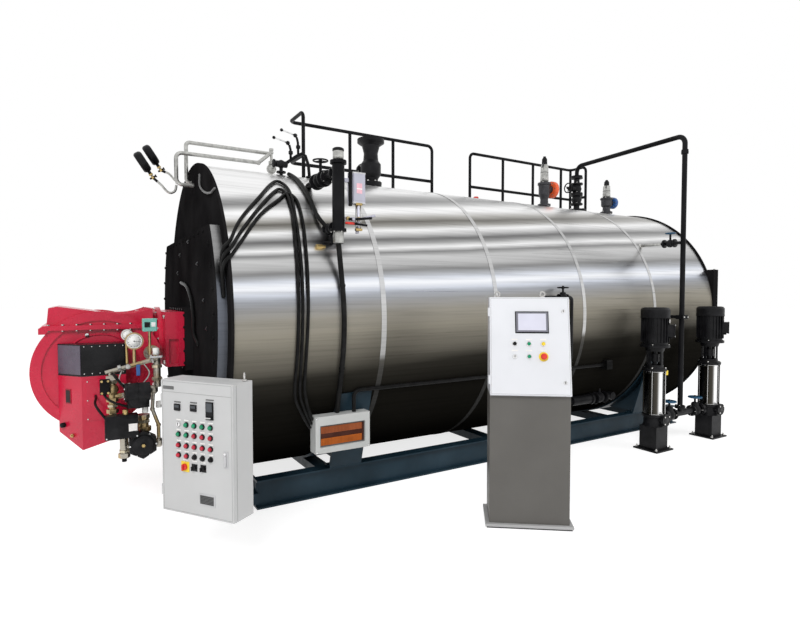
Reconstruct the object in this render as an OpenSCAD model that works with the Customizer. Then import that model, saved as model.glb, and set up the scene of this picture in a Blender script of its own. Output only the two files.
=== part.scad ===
/* [Drum and jacket] */
// Outer radius of the polished jacket
jacket_r = 1200; // [1150:5:1260]
// Length of the jacket
jacket_len = 5300; // [5200:50:6500]
// Thickness of one jacket sheet
jacket_t = 6; // [3:1:12]
// Number of jacket sheets along the drum
sheet_count = 5; // [3:1:8]
// Clear height under the jacket
under_h = 90; // [85:1:130]
// Thickness of the lagging between drum and jacket
lagging = 90; // [70:5:150]
// Wall of the pressure drum
drum_t = 14; // [8:1:30]
// Width of the bands over the sheet joints
band_w = 40; // [24:2:80]

/* [End plates and front box] */
// How far the end plates stand out over the jacket
plate_rim = 16; // [5:1:60]
// Thickness of the end plates
plate_t = 20; // [10:1:40]
// How far the front box lies inside the jacket line
front_in = 70; // [40:5:200]
// Depth of the front box
front_box_d = 60; // [30:2:200]
// Depth of the front door in front of the box
front_door_d = 15; // [12:1:60]
// Depth of the frame on the door that carries the burner
frame_d = 55; // [30:1:100]
// Height of the flat top of the front box over the drum axis
front_rise = 645; // [450:5:900]
// Wall of the front box and of its door
front_wall = 10; // [6:1:20]

/* [Burner] */
// How far the burner axis lies below the drum axis
burner_drop = 135; // [50:5:180]
// Width of the mounting block
block_w = 680; // [600:10:800]
// Height of the mounting block
block_h = 400; // [360:10:500]
// Depth of the mounting block
block_d = 130; // [100:5:200]
// Radius of the flame tube
flame_r = 190; // [120:5:195]
// Distance of the fan axis in front of the jacket
fan_out = 692; // [680:2:760]
// Radius of the fan volute at its outlet
fan_r = 412; // [400:2:425]
// Width of the fan housing
fan_w = 544; // [520:4:600]
// Depth of the boxes in front of the fan housing
air_box_d = 170; // [120:5:200]

/* [Skid and saddles] */
// Distance from the drum axis to the outer face of a beam
beam_y = 930; // [900:10:960]
// Height of a skid beam
beam_h = 200; // [160:5:205]
// Flange width of a skid beam
beam_w = 100; // [80:5:150]
// Web and flange thickness of a skid beam
beam_t = 12; // [8:1:20]
// Distance of the skid ends inside the ends of the jacket
skid_in = 210; // [120:10:400]
// Distance of each saddle from the end of the jacket
saddle_in = 880; // [860:5:920]
// Width of a saddle along the drum
saddle_w = 260; // [160:10:320]
// How far the saddle horns end below the drum axis
saddle_drop = 510; // [490:5:700]

/* [Control cabinet] */
// Width of the control cabinet
cab_w = 480; // [400:10:600]
// Depth of the control cabinet
cab_d = 130; // [120:1:220]
// Height of the control cabinet
cab_h = 702; // [600:2:900]
// Sheet thickness of both cabinets
cab_t = 3; // [2:0.5:5]
// Thickness of the cabinet doors
door_t = 18; // [14:1:25]

/* [Console] */
// Width of the console plinth
con_w = 556; // [500:4:700]
// Depth of the console plinth
con_d = 340; // [320:10:500]
// Height of the console
con_h = 1462; // [1300:2:1600]
// Height of the grey column of the console
con_col_h = 847; // [700:1:1000]
// Setback of the slanted desk at its top
desk_back = 140; // [80:5:200]

/* [Pumps and feed pipe] */
// Distance of the pump axes from the side of the jacket
pump_off = 230; // [200:10:400]
// Distance of the first pump from the rear end of the jacket
pump_in1 = 1400; // [1350:10:1650]
// Distance of the second pump from the rear end
pump_in2 = 460; // [150:10:550]
// Radius of a pump sleeve
sleeve_r = 86; // [60:2:100]
// Radius of a pump motor
motor_r = 128; // [100:1:150]
// Height of a pump
pump_h = 1358; // [1300:2:1500]
// Radius of the feed pipe
feed_r = 24; // [18:1:40]
// Height of the feed crossover over the jacket
feed_rise = 560; // [460:10:710]
// Distance of the feed valve from the rear end
feed_in = 857; // [800:1:900]
// Distance of the feed riser from the rear end
riser_in = 970; // [857:5:1050]

/* [Fittings on top] */
// Distance of the steam valve from the front end of the jacket
steam_in = 1590; // [1450:10:1850]
// Distance of the large safety valve from the rear end
safety_in1 = 1410; // [1250:10:1550]
// Distance of the small safety valve from the rear end
safety_in2 = 300; // [200:10:450]
// Height of the handrails over the jacket
rail_rise = 697; // [560:1:810]
// Distance from the top rail down to the middle rail
rail_drop = 400; // [250:10:450]
// Distance of the handrails behind the drum axis
rail_y = 600; // [500:10:700]
// Radius of the handrail tube
rail_r = 17; // [12:1:25]
// Distance of the level column from the front end
column_in = 710; // [670:1:750]
// How far the level column stands inside the side line of the jacket
column_set = 10; // [0:5:15]

/* [Hidden] */
$fn = 96;
seat = 0.3;
half = jacket_len / 2;
axis_h = jacket_r + under_h;
top_z = axis_h + jacket_r;
drum_r = jacket_r - lagging;
plate_r = jacket_r + plate_rim;
front_r = jacket_r - front_in;
front_top = axis_h + front_rise;
burner_h = axis_h - burner_drop;
saddle_top = axis_h - saddle_drop;
pump_y = jacket_r + pump_off;
pump_x1 = half - pump_in1;
pump_x2 = half - pump_in2;
feed_top = top_z + feed_rise;
feed_x = half - feed_in;
riser_x = half - riser_in;
steam_x = -half + steam_in;
safety_x1 = half - safety_in1;
safety_x2 = half - safety_in2;
rail_top = top_z + rail_rise;
column_x = -half + column_in;
column_y = jacket_r - column_set;
column_z = top_z - 555;
pitch = jacket_len / sheet_count;
skid_len = jacket_len - 2 * skid_in;
saddle_x = half - saddle_in;
sheet_gap = 6;
cradle_t = 16;
horn_y = sqrt(pow(jacket_r + cradle_t, 2) - pow(axis_h - saddle_top, 2));
cross_h = axis_h - jacket_r - cradle_t - seat;
plate_face = half + plate_t;
box_face = plate_face + front_box_d;
door_face = box_face + front_door_d;
tube_gap = 12;
frame_face = door_face + frame_d;
block_face = frame_face + block_d;
fan_x = -half - fan_out;
fan_z = burner_h - 201;
rim_y = fan_w / 2;
air_z0 = burner_h - 707;
air_z1 = burner_h - 213;
ctrl_z1 = burner_h - 5;
train_h = 1155;
cab_pos = [-half - 433, -jacket_r - 254, 333];
cab_turn = -54.5;
con_pos = [-half + 1368, -jacket_r - 755, 0];
con_turn = -37;
cab_out = cab_d + 2;
cab_back = [cab_pos.x + cab_w / 2 * cos(cab_turn) - (cab_out + 14) * sin(cab_turn),
            cab_pos.y + cab_w / 2 * sin(cab_turn) + (cab_out + 14) * cos(cab_turn), cab_pos.z + 40];
plinth_h = 70;
col_in = 28;
desk_y = 10;
slope_len = norm([desk_back, con_h - con_col_h]);
slope_a = atan2(desk_back, con_h - con_col_h);
term_x0 = -saddle_x - 335;
term_x1 = -saddle_x + 80;
term_z0 = saddle_top - 386;
term_z1 = saddle_top - 133;
term_y = jacket_r - 35;
term_d = 95;
pump_base_h = 250;
pump_head_h = 340;
manifold_z = 300;

// Box from one corner to the opposite one
module box(a, b) { translate(a) cube(b - a); }
// Cylinders along the three axes, from the given point in the positive direction
module cyl_x(p, r, h) { translate(p) rotate([0, 90, 0]) cylinder(r = r, h = h); }
module cyl_y(p, r, h) { translate(p) rotate([-90, 0, 0]) cylinder(r = r, h = h); }
module cyl_z(p, r, h) { translate(p) cylinder(r = r, h = h); }
// Straight rod between two points
module rod(a, b, r) {
    d = b - a;
    translate(a) rotate([0, acos(d.z / norm(d)), atan2(d.y, d.x)]) cylinder(r = r, h = norm(d));
}
// Level square bar from one point to another
module arm(a, b, w, h) {
    d = b - a;
    translate(a) rotate([0, 0, atan2(d.y, d.x)]) translate([0, -w / 2, 0]) cube([norm([d.x, d.y]), w, h]);
}
// Ball fitting, turned, with small flats at its top and bottom
module ball(p, r) {
    flat = 75;
    translate(p) rotate_extrude($fn = 48) polygon(concat([[0, -r * sin(flat)]],
        [for (a = [-flat:flat / 3:flat]) r * [cos(a), sin(a)]], [[0, r * sin(flat)]]));
}
// Quarter bend of a pipe
module bend(p, u, v, r, br) {
    n = cross(u, v);
    c = p - u * br + v * br;
    multmatrix([[-v.x, u.x, n.x, c.x], [-v.y, u.y, n.y, c.y], [-v.z, u.z, n.z, c.z], [0, 0, 0, 1]])
        rotate_extrude(angle = 90) translate([br, 0]) circle(r = r, $fn = 48);
}
// Pipe through points with square corners, each corner a quarter bend
module run(pts, r, br) {
    k = len(pts) - 1;
    ln = [for (i = [0:k - 1]) norm(pts[i + 1] - pts[i])];
    d = [for (i = [0:k - 1]) (pts[i + 1] - pts[i]) / ln[i]];
    for (i = [0:k - 1])
        rod(pts[i] + d[i] * (i == 0 ? 0 : br), pts[i + 1] - d[i] * (i == k - 1 ? 0 : br), r, $fn = 48);
    for (i = [1:k - 1]) bend(pts[i], d[i - 1], d[i], r, br);
}
// Keeps only what lies outside the jacket
module off_jacket() {
    difference() {
        children();
        cyl_x([-half - 100, 0, axis_h], jacket_r + seat, jacket_len + 200, $fn = 360);
    }
}
// Pipe laid around the drum from angle a0 to a1, measured from the top to the near side
module drum_arc(x, rc, r, a0, a1) {
    translate([x, 0, axis_h]) rotate([0, -90, 0]) rotate([0, 0, -a1])
        rotate_extrude(angle = a1 - a0) translate([rc, 0]) circle(r = r, $fn = 32);
}

// Handwheel on an upright stem: rim, three spokes and hub
module handwheel(r, t) {
    rotate_extrude($fn = 72) translate([r - t, 0]) circle(r = t, $fn = 24);
    for (a = [0, 120, 240]) rotate([0, 0, a]) rod([t, 0, 0], [r - t, 0, 0], t * 0.6, $fn = 24);
    translate([0, 0, -1.5 * t]) cylinder(r = 2.2 * t, h = 3 * t, $fn = 48);
}

module jacket() {
    color([0.8, 0.81, 0.82])
    for (i = [0:sheet_count - 1]) {
        x0 = -half + i * pitch + (i == 0 ? seat : sheet_gap / 2);
        x1 = -half + (i + 1) * pitch - (i == sheet_count - 1 ? seat : sheet_gap / 2);
        difference() {
            cyl_x([x0, 0, axis_h], jacket_r, x1 - x0, $fn = 180);
            cyl_x([x0 - 1, 0, axis_h], jacket_r - jacket_t, x1 - x0 + 2, $fn = 180);
        }
    }
}

// The bands over the sheet joints stop short of what stands on the drum
module seam_bands() {
    spots = [[steam_x, 125], [safety_x1, 85], [feed_x, 135], [safety_x2, 85]];
    color([0.7, 0.71, 0.72])
    for (i = [1:sheet_count - 1]) difference() {
        cyl_x([-half + i * pitch - band_w / 2, 0, axis_h], jacket_r + 3, band_w, $fn = 180);
        cyl_x([-half + i * pitch - band_w, 0, axis_h], jacket_r + seat, 2 * band_w, $fn = 180);
        for (s = spots) if (abs(s[0] + half - i * pitch) < s[1] + band_w / 2)
            cyl_z([s[0], 0, axis_h + drum_r], s[1], jacket_r);
        for (sx = [-saddle_x, saddle_x]) if (abs(sx + half - i * pitch) < (saddle_w + band_w) / 2 + 5)
            box([sx - saddle_w / 2 - 5, -plate_r, 0], [sx + saddle_w / 2 + 5, plate_r, saddle_top + 10]);
    }
}

module drum_shell() {
    color([0.3, 0.31, 0.33])
    difference() {
        cyl_x([-half + seat, 0, axis_h], drum_r, jacket_len - 2 * seat, $fn = 120);
        cyl_x([-half - 1, 0, axis_h], drum_r - drum_t, jacket_len + 2, $fn = 120);
    }
}

module front_plate() {
    color([0.06, 0.06, 0.07])
    difference() {
        cyl_x([-plate_face, 0, axis_h], plate_r, plate_t, $fn = 180);
        cyl_x([-plate_face - 1, 0, burner_h], flame_r + tube_gap, plate_t + 2);
    }
}

// Rear tube plate ring with the hollow, dished smoke box cover and the hinge box at its near side
module rear_plate() {
    cover_r = jacket_r - 140;
    depth = 75;
    color([0.06, 0.06, 0.07]) {
        difference() {
            cyl_x([half, 0, axis_h], plate_r, plate_t, $fn = 180);
            cyl_x([half - 1, 0, axis_h], cover_r - 110, plate_t + 2, $fn = 120);
        }
        difference() {
            translate([plate_face - 5, 0, axis_h]) rotate([0, 90, 0]) rotate_extrude($fn = 120)
                polygon([[0, 0], [cover_r, 0], [cover_r, 26], [cover_r - 50, 26],
                         [cover_r - 70, 60], [cover_r - 120, depth], [0, depth]]);
            cyl_x([plate_face - 6, 0, axis_h], cover_r - 140, depth - 8, $fn = 120);
        }
        box([half + 2, -plate_r + 10, axis_h + 20], [half + 90, -jacket_r + 70, axis_h + 475]);
    }
}

module front_shape(r, top, x0, x1) {
    intersection() {
        cyl_x([x0, 0, axis_h], r, x1 - x0, $fn = 120);
        box([x0 - 1, -r - 1, axis_h - r - 1], [x1 + 1, r + 1, top]);
    }
}

module front_box() {
    color([0.6, 0.62, 0.65])
    difference() {
        front_shape(front_r, front_top, -box_face, -plate_face - seat);
        front_shape(front_r - front_wall, front_top - front_wall, -box_face - 1, -plate_face + 1);
    }
}

// Flat black door plate with the frame that carries the burner
module front_door() {
    color([0.05, 0.05, 0.06])
    difference() {
        union() {
            front_shape(front_r, front_top, -door_face, -box_face - seat);
            box([-frame_face, -block_w / 2 - 30, burner_h - block_h / 2 - 30],
                [-door_face + 1, block_w / 2 + 30, burner_h + block_h / 2 + 30]);
        }
        cyl_x([-frame_face - 1, 0, burner_h], flame_r + tube_gap, frame_d + front_door_d + 2);
    }
}

// Square mounting block with a recessed panel on each side and the flame tube behind it
module burner_block() {
    z0 = burner_h - block_h / 2;
    color([0.7, 0.03, 0.06])
    difference() {
        union() {
            box([-block_face, -block_w / 2, z0], [-frame_face - seat, block_w / 2, z0 + block_h]);
            cyl_x([-block_face, 0, burner_h], flame_r, block_face - half + 260);
        }
        cyl_x([-block_face + 30, 0, burner_h], flame_r - 8, block_face - half + 400);
        for (s = [-1, 1])
            box([-block_face + 24, s * (block_w / 2 - 10) - 11, z0 + 20],
                [-frame_face - 40, s * (block_w / 2 - 10) + 11, z0 + 0.5 * block_h]);
    }
}

// Outline of the fan volute: its radius shrinks from the outlet round to the cutoff
function volute(r, n = 72) =
    [for (i = [0:n - 1]) let (a = 360 * i / n, k = a < 235 ? 0 : (a - 235) / 125)
        (r - 70 * k) * [cos(a), sin(a)]];
// Flat stock across the housing, cut to an outline seen from the side
module across(y0, y1) { translate([fan_x, y1, fan_z]) rotate([90, 0, 0]) linear_extrude(y1 - y0) children(); }

// Fan housing: spiral volute with rims, split flange, hood with the air inlet and the round burner head
module burner_fan_housing() {
    reach = -fan_x - block_face;
    color([0.75, 0.03, 0.07]) {
        difference() {
            union() {
                across(-rim_y + 14, rim_y - 14) polygon(volute(fan_r - 14));
                for (s = [-1, 1]) across(s > 0 ? rim_y - 40 : -rim_y, s > 0 ? rim_y : -rim_y + 40)
                    difference() {
                        polygon(volute(fan_r));
                        polygon(volute(fan_r - 64));
                    }
            }
            box([-block_face - 30, -fan_w, 0], [-block_face + 600, fan_w, 2000]);
        }
        // hood over the volute and neck to the burner head, its top sagging between the two
        across(-rim_y + 34, rim_y - 34) polygon(concat(
            [[-180, 300]], [for (i = [0:12]) let (x = -180 + i / 12 * (reach + 110))
                [x, 386 + (x < 150 ? 55 : 240) * pow((x - 150) / 450, 2)]],
            [[reach - 70, -40], [0, -100]]));
        // air inlet box with its slot
        difference() {
            across(-rim_y + 20, rim_y - 20)
                polygon([[-315, 290], [-300, 436], [-250, 446], [20, 404], [20, 290]]);
            box([fan_x - 340, -rim_y + 70, fan_z + 345], [fan_x - 270, rim_y - 70, fan_z + 415]);
        }
        // split flange between the lower casing and the lid
        across(-rim_y - 20, rim_y + 20) polygon([[-357, 262], [-357, 300], [-330, 318], [310, 318],
            [310, 286], [-300, 286], [-318, 262]]);
        // burner head: turned body with its big flange
        translate([fan_x + reach - seat, 0, burner_h]) rotate([0, -90, 0]) rotate_extrude($fn = 96)
            polygon([[0, 0], [232, 0], [232, 30], [218, 36], [206, 60], [206, 170], [0, 170]]);
    }
}

// Plan of the boxes in front of the fan housing, with the corner cut off towards the fan end
module bevel_box(z0, z1) {
    y0 = -rim_y - seat;
    translate([fan_x, 0, z0]) linear_extrude(z1 - z0)
        polygon([[-251, y0], [146, y0], [146, y0 - air_box_d], [-117, y0 - air_box_d]]);
}

// Lower casing: the underside rises from the front corner to both sides
module burner_air_box() {
    y0 = -rim_y - seat - air_box_d;
    color([0.72, 0.03, 0.07])
    difference() {
        bevel_box(air_z0, air_z1);
        translate([fan_x - 117, y0, air_z0]) {
            rotate([0, -15, 0]) translate([0, -50, -300]) cube([500, 400, 300]);
            rotate([0, 0, 128.2]) rotate([0, -26, 0]) translate([0, -400, -300]) cube([500, 600, 300]);
        }
    }
}

module burner_control_box() {
    color([0.04, 0.04, 0.05]) bevel_box(air_z1 + seat, ctrl_z1);
}

// Frame under the fan axis, in which the gas pipework is drawn for a burner axis at train_h
module at_fan() { translate([fan_x, 0, burner_h - train_h]) children(); }

// Gas pipework in front of the burner: a rail, the valve line below it and the bend into the housing
module gas_train() {
    y = -580;
    y_in = -rim_y - seat;
    boss = -640;
    color([0.62, 0.5, 0.27])
    at_fan() {
        run([[325, y, 855], [325, y, 1060], [325, y_in, 1060]], 24, 50);
        cyl_y([325, y_in - 16, 1060], 54, 16);
        rod([15, y, 972], [330, y, 1048], 14);
        // valve line at the left with its union nuts
        cyl_z([55, y, 690], 22, 283);
        for (z = [705, 780, 925]) cyl_z([55, y, z], 36, 26, $fn = 6);
        ball([55, y, 860], 38);
        rod([55, y, 700], [118, y, 520], 20);
        cyl_z([118, y, 420], 26, 110);
        cyl_z([118, y, 400], 36, 30, $fn = 6);
        rod([118, y, 475], [330, y, 475], 22);
        // valve body in the middle
        cyl_z([234, y, 470], 34, 190);
        cyl_z([234, y, 560], 50, 34, $fn = 6);
        cyl_z([234, y, 650], 42, 26);
        rod([55, y, 815], [290, y, 815], 18);
        // bent pipe at the right
        rod([325, y, 870], [300, y, 838], 14);
        rod([300, y, 838], [292, y, 705], 12);
        rod([292, y, 705], [329, y, 592], 12);
        rod([329, y, 592], [329, y, 475], 12);
        for (q = [[292, y, 705], [329, y, 592]]) ball(q, 16);
        for (q = [[300, y, 838], [329, y, 472]]) translate(q) rotate_extrude($fn = 48)
            polygon([[0, -29], [16, -29], [30, -14], [30, 14], [16, 29], [0, 29]]);
        // bosses that carry the actuators
        cyl_y([100, boss, 618], 30, 70);
        cyl_y([200, boss, 815], 30, 69);
        cyl_y([228, boss, 475], 29, 68);
        // pressure gauge and pressure switch on the rail
        cyl_z([188, y, 1020], 10, 102);
        cyl_y([188, y - 20, 1173], 56, 34);
        cyl_z([283, y, 1043], 9, 195);
        box([242, y - 20, 1237], [325, y + 25, 1318]);
    }
}

module gas_actuators() {
    face = -640 - seat;
    color([0.03, 0.03, 0.035])
    at_fan() {
        // lower actuator, its lid bevelled at the front
        translate([4, 0, 0]) rotate([90, 0, 90]) linear_extrude(189)
            polygon([[face, 560], [face, 706], [face - 66, 706], [face - 90, 684], [face - 90, 560]]);
        // upper actuator: motor drum on its block
        cyl_x([118, -700, 850], 60, 149);
        box([135, -720, 748], [262, face, 850]);
        // filter body with its six sides
        translate([221, face, 499]) rotate([90, 30, 0]) cylinder(r = 92, h = 70, $fn = 6);
    }
}

module at_cabinet() { translate(cab_pos) rotate([0, 0, cab_turn]) children(); }

module cabinet_body() {
    color([0.83, 0.84, 0.84])
    at_cabinet() {
        difference() {
            box([0, 0, 0], [cab_w, cab_d, cab_h]);
            box([cab_t, -1, cab_t], [cab_w - cab_t, cab_d - cab_t, cab_h - cab_t]);
        }
    }
}

// Two barrels with their leaves along the left edge of a door that starts at the edge x = 0
module knuckles(heights) {
    for (z = heights) {
        translate([-5, -10, z]) cylinder(r = 7, h = 56, $fn = 60);
        box([-6, -14, z], [12, -9, z + 56]);
    }
}

module cabinet_door() {
    color([0.86, 0.87, 0.87])
    at_cabinet() {
        difference() {
            box([1, -door_t - seat, 1], [cab_w - 1, -seat, cab_h - 1]);
            box([5, -door_t + 2, 5], [cab_w - 5, 1, cab_h - 5]);
        }
        knuckles([80, cab_h - 136]);
    }
}

module cabinet_bracket() {
    x0 = -skid_len / 2;
    color([0.1, 0.14, 0.18]) {
        box([x0 - 120, -beam_y - 40, 60], [x0 - seat, -beam_y + beam_w - 20, 130]);
        box([x0 - 120, -beam_y - 40, 129], [x0 - 60, -beam_y + 20, 430]);
        arm([x0 - 90, -beam_y - 10, cab_pos.z + 40], cab_back, 50, 50);
        at_cabinet() box([40, cab_d + seat, 30], [cab_w - 40, cab_d + 18, 100]);
    }
}

module at_console() { translate(con_pos) rotate([0, 0, con_turn]) children(); }

module console_plinth() {
    color([0.3, 0.3, 0.31])
    at_console() difference() {
        hull() {
            box([0, 0, 0], [con_w, con_d, 12]);
            box([col_in, col_in, plinth_h - 4], [con_w - col_in, con_d - 40, plinth_h]);
        }
        box([40, 40, -1], [con_w - 40, con_d - 60, plinth_h - 8]);
    }
}

module console_column() {
    color([0.47, 0.46, 0.45])
    at_console() difference() {
        box([col_in, col_in, plinth_h + seat], [con_w - col_in, con_d - 40, con_col_h]);
        box([col_in + cab_t, col_in + cab_t, plinth_h - 1],
            [con_w - col_in - cab_t, con_d - 40 - cab_t, con_col_h + 1]);
    }
}

module desk_shape(inset, front) {
    z0 = con_col_h + seat + inset;
    translate([col_in + inset, 0, 0]) rotate([90, 0, 90])
        linear_extrude(con_w - 2 * col_in - 2 * inset)
            polygon([[desk_y - front, z0], [con_d - 40 - inset, z0],
                     [con_d - 40 - inset, con_h - inset], [desk_y + desk_back - front, con_h - inset]]);
}

module console_desk() {
    color([0.85, 0.86, 0.87])
    at_console() difference() {
        desk_shape(0, 0);
        desk_shape(cab_t, 60);
    }
}

// Frame on the slanted front of the desk: x to the right, y into the desk, z up the slope
module at_slope() {
    at_console() translate([col_in, desk_y, con_col_h + seat]) rotate([-slope_a, 0, 0]) children();
}

module console_door() {
    color([0.88, 0.89, 0.9])
    at_slope() {
        difference() {
            box([0, -door_t - seat, 2], [con_w - 2 * col_in, -seat, slope_len - 2]);
            box([5, -door_t + 2, 7], [con_w - 2 * col_in - 5, 1, slope_len - 7]);
        }
        knuckles([70, slope_len - 126]);
    }
}

module touch_panel() {
    color([0.1, 0.1, 0.12])
    at_slope() box([165, -door_t - 8, 400], [365, -door_t - 2 * seat, 530]);
}

module terminal_box() {
    color([0.8, 0.81, 0.8]) {
        difference() {
            box([term_x0, -term_y, term_z0], [term_x1, -term_y + term_d, term_z1]);
            box([term_x0 + 34, -term_y - 1, term_z0 + 40], [term_x1 - 36, -term_y + 14, term_z1 - 62]);
            box([term_x0 + 4, -term_y + 18, term_z0 + 4], [term_x1 - 4, -term_y + term_d - 4, term_z1 - 4]);
        }
        difference() {
            box([term_x0 + 240, -term_y + term_d - 2, saddle_top - 350],
                [term_x1 - 35, -term_y + term_d + 160, saddle_top - 260]);
            saddle_side(-1, -saddle_x - saddle_w, -saddle_x + saddle_w, seat, 300);
        }
    }
}

module skid_beams() {
    color([0.12, 0.17, 0.21])
    for (s = [-1, 1]) {
        y0 = s < 0 ? -beam_y : beam_y - beam_w;
        yw = s < 0 ? -beam_y + beam_w / 2 : beam_y - beam_w / 2;
        box([-skid_len / 2, y0, 0], [skid_len / 2, y0 + beam_w, beam_t]);
        box([-skid_len / 2, y0, beam_h - beam_t], [skid_len / 2, y0 + beam_w, beam_h]);
        box([-skid_len / 2, yw - beam_t / 2, 1], [skid_len / 2, yw + beam_t / 2, beam_h - 1]);
    }
}

module skid_cross_members() {
    y1 = beam_y - beam_w - seat;
    color([0.11, 0.16, 0.2])
    for (x = [-skid_len / 2 + 60, -saddle_x, 0, saddle_x, skid_len / 2 - 60]) difference() {
        box([x - 60, -y1, 0], [x + 60, y1, cross_h]);
        box([x - 50, -y1 - 1, 10], [x + 50, y1 + 1, cross_h - 10]);
    }
}

// Outline of a saddle side plate: it leans out from the beam to the horn
module saddle_side(s, x0, x1, grow, extra) {
    ya = beam_y - 2;
    t = 18;
    translate([x0, 0, 0]) rotate([90, 0, 90]) linear_extrude(x1 - x0)
        polygon([[s * (ya + grow), beam_h + seat], [s * (horn_y + grow), saddle_top],
                 [s * (horn_y - t - extra), saddle_top], [s * (ya - t - extra), beam_h + seat]]);
}

module saddles() {
    color([0.12, 0.17, 0.21])
    for (sx = [-saddle_x, saddle_x]) difference() {
        union() {
            for (s = [-1, 1]) saddle_side(s, sx - saddle_w / 2, sx + saddle_w / 2, 0, 0);
            translate([sx - 8, 0, 0]) rotate([90, 0, 90]) linear_extrude(16)
                polygon([[-beam_y + 8, beam_h + seat], [beam_y - 8, beam_h + seat],
                         [horn_y - 8, saddle_top], [8 - horn_y, saddle_top]]);
            intersection() {
                cyl_x([sx - saddle_w / 2, 0, axis_h], jacket_r + cradle_t, saddle_w, $fn = 180);
                box([sx - saddle_w, 3 - horn_y, cross_h], [sx + saddle_w, horn_y - 3, saddle_top]);
            }
            for (s = [-1, 1])
                box([sx - saddle_w / 2, s * (beam_y - beam_w / 2) - 50, beam_h + seat],
                    [sx + saddle_w / 2, s * (beam_y - beam_w / 2) + 46, beam_h + 14]);
        }
        cyl_x([sx - saddle_w, 0, axis_h], jacket_r + seat, 2 * saddle_w, $fn = 180);
    }
}

// Turned body on an upright axis: profile points are radius and height above the floor
module turned_at(xy, pts) { translate([xy.x, xy.y, 0]) rotate_extrude($fn = 72) polygon(pts); }
module turned(x, pts) { turned_at([x, 0], pts); }

// Stop valve: flanged globe body, its bonnet and the top flange for the steam line
module steam_outlet_valve() {
    base = axis_h + jacket_r;
    color([0.05, 0.05, 0.055]) {
        off_jacket() cyl_z([steam_x, 0, base - 30], 60, 44);
        turned(steam_x, [
            [0, base + 12], [102, base + 12], [102, base + 34], [104, base + 36], [104, base + 58],
            [64, base + 64], [72, base + 96], [96, base + 130], [96, base + 228], [72, base + 262],
            [66, base + 330], [84, base + 400], [128, base + 430], [128, base + 462],
            [70, base + 462], [70, base + 432], [0, base + 432]]);
        // bonnet with its flange towards the far side
        cyl_y([steam_x, 0, base + 179], 45, 120);
        cyl_y([steam_x, 118, base + 179], 90, 24);
    }
}

// Spring loaded safety valves: flanged foot, bonnet, cap and lifting lever, outlet towards the rear end
module safety_valves() {
    base = axis_h + jacket_r;
    color([0.35, 0.3, 0.2])
    for (x = [safety_x1, safety_x2]) {
        k = x == safety_x1 ? 1 : 0.75;
        out = base + 232 * k;
        off_jacket() {
            turned(x, [[0, base - 40], [30, base - 40], [30, base + 30], [74, base + 30], [74, base + 52],
                [48, base + 60], [44, base + 110], [64, base + 170 * k], [66, base + 270 * k],
                [76, base + 276 * k], [76, base + 300 * k], [46, base + 308 * k], [40, base + 500 * k],
                [28, base + 516 * k], [28, base + 575 * k], [14, base + 590 * k], [14, base + 605 * k],
                [0, base + 605 * k]]);
            cyl_x([x + 20, 0, out], 46 * k, 88);
            cyl_x([x + 100, 0, out], 90 * k, 28);
            rod([x, 0, base + 560 * k], [x - 70 * k, -30, base + 470 * k], 7);
        }
    }
}

// Feed inlet: oval foot on the drum, check valve, stop valve with its wheel to the front, top flange
module feed_check_valve() {
    base = axis_h + jacket_r;
    color([0.07, 0.07, 0.075])
    off_jacket() {
        turned(feed_x, [
            [0, base - 40], [60, base - 40], [60, base + 10], [118, base + 10], [118, base + 34], [36, base + 42],
            [34, base + 84], [72, base + 90], [72, base + 108], [50, base + 120], [62, base + 155],
            [50, base + 190], [72, base + 202], [72, base + 236], [48, base + 246], [58, base + 285],
            [48, base + 325], [72, base + 336], [72, base + 354], [34, base + 362], [34, base + 405],
            [70, base + 410], [70, base + 428], [0, base + 428]]);
        cyl_x([feed_x - 165, 0, base + 285], 11, 120);
        cyl_x([feed_x - 110, 0, base + 285], 38, 60);
        translate([feed_x - 153, 0, base + 285]) rotate([0, 90, 0]) handwheel(62, 7);
    }
}

// The crossover runs from the feed valve to the riser, a little aslant
module feed_crossover() {
    z0 = axis_h + jacket_r + 428 + seat;
    span = norm([feed_x - riser_x, pump_y]);
    color([0.06, 0.06, 0.065])
    translate([feed_x, 0, 0]) rotate([0, 0, -atan2(feed_x - riser_x, pump_y)]) {
        run([[0, 0, z0], [0, 0, feed_top], [0, -span, feed_top], [0, -span, feed_top - 180]], feed_r, 80);
        cyl_z([0, 0, z0], 66, 16);
        cyl_z([0, -span, feed_top - 180], feed_r + 8, 40);
    }
}

module feed_riser() {
    color([0.06, 0.06, 0.065]) {
        cyl_z([riser_x, -pump_y, manifold_z + 60], feed_r, feed_top - 180 - seat - manifold_z - 60);
        cyl_z([riser_x, -pump_y, manifold_z + 60], feed_r + 24, 14);
        // stay to the drum with its clamp
        off_jacket() {
            box([riser_x - 14, -pump_y + feed_r - 4, axis_h - 45],
                [riser_x + 14, -jacket_r + 20, axis_h - 15]);
        }
        box([riser_x - 42, -pump_y - 38, axis_h - 50], [riser_x + 42, -pump_y + 38, axis_h - 10]);
    }
}

// Flanged valve on a level pipe running along y, with its stem and wheel above or below
module line_valve(p, r, stem) {
    ball(p, r);
    cyl_y(p - [0, r + 22, 0], r * 1.05, 18);
    cyl_y(p + [0, r + 4, 0], r * 1.05, 18);
    translate(p) mirror([0, 0, stem < 0 ? 1 : 0]) {
        cylinder(r = 11, h = abs(stem));
        translate([0, 0, abs(stem) - 8]) handwheel(58, 6);
    }
}

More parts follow.
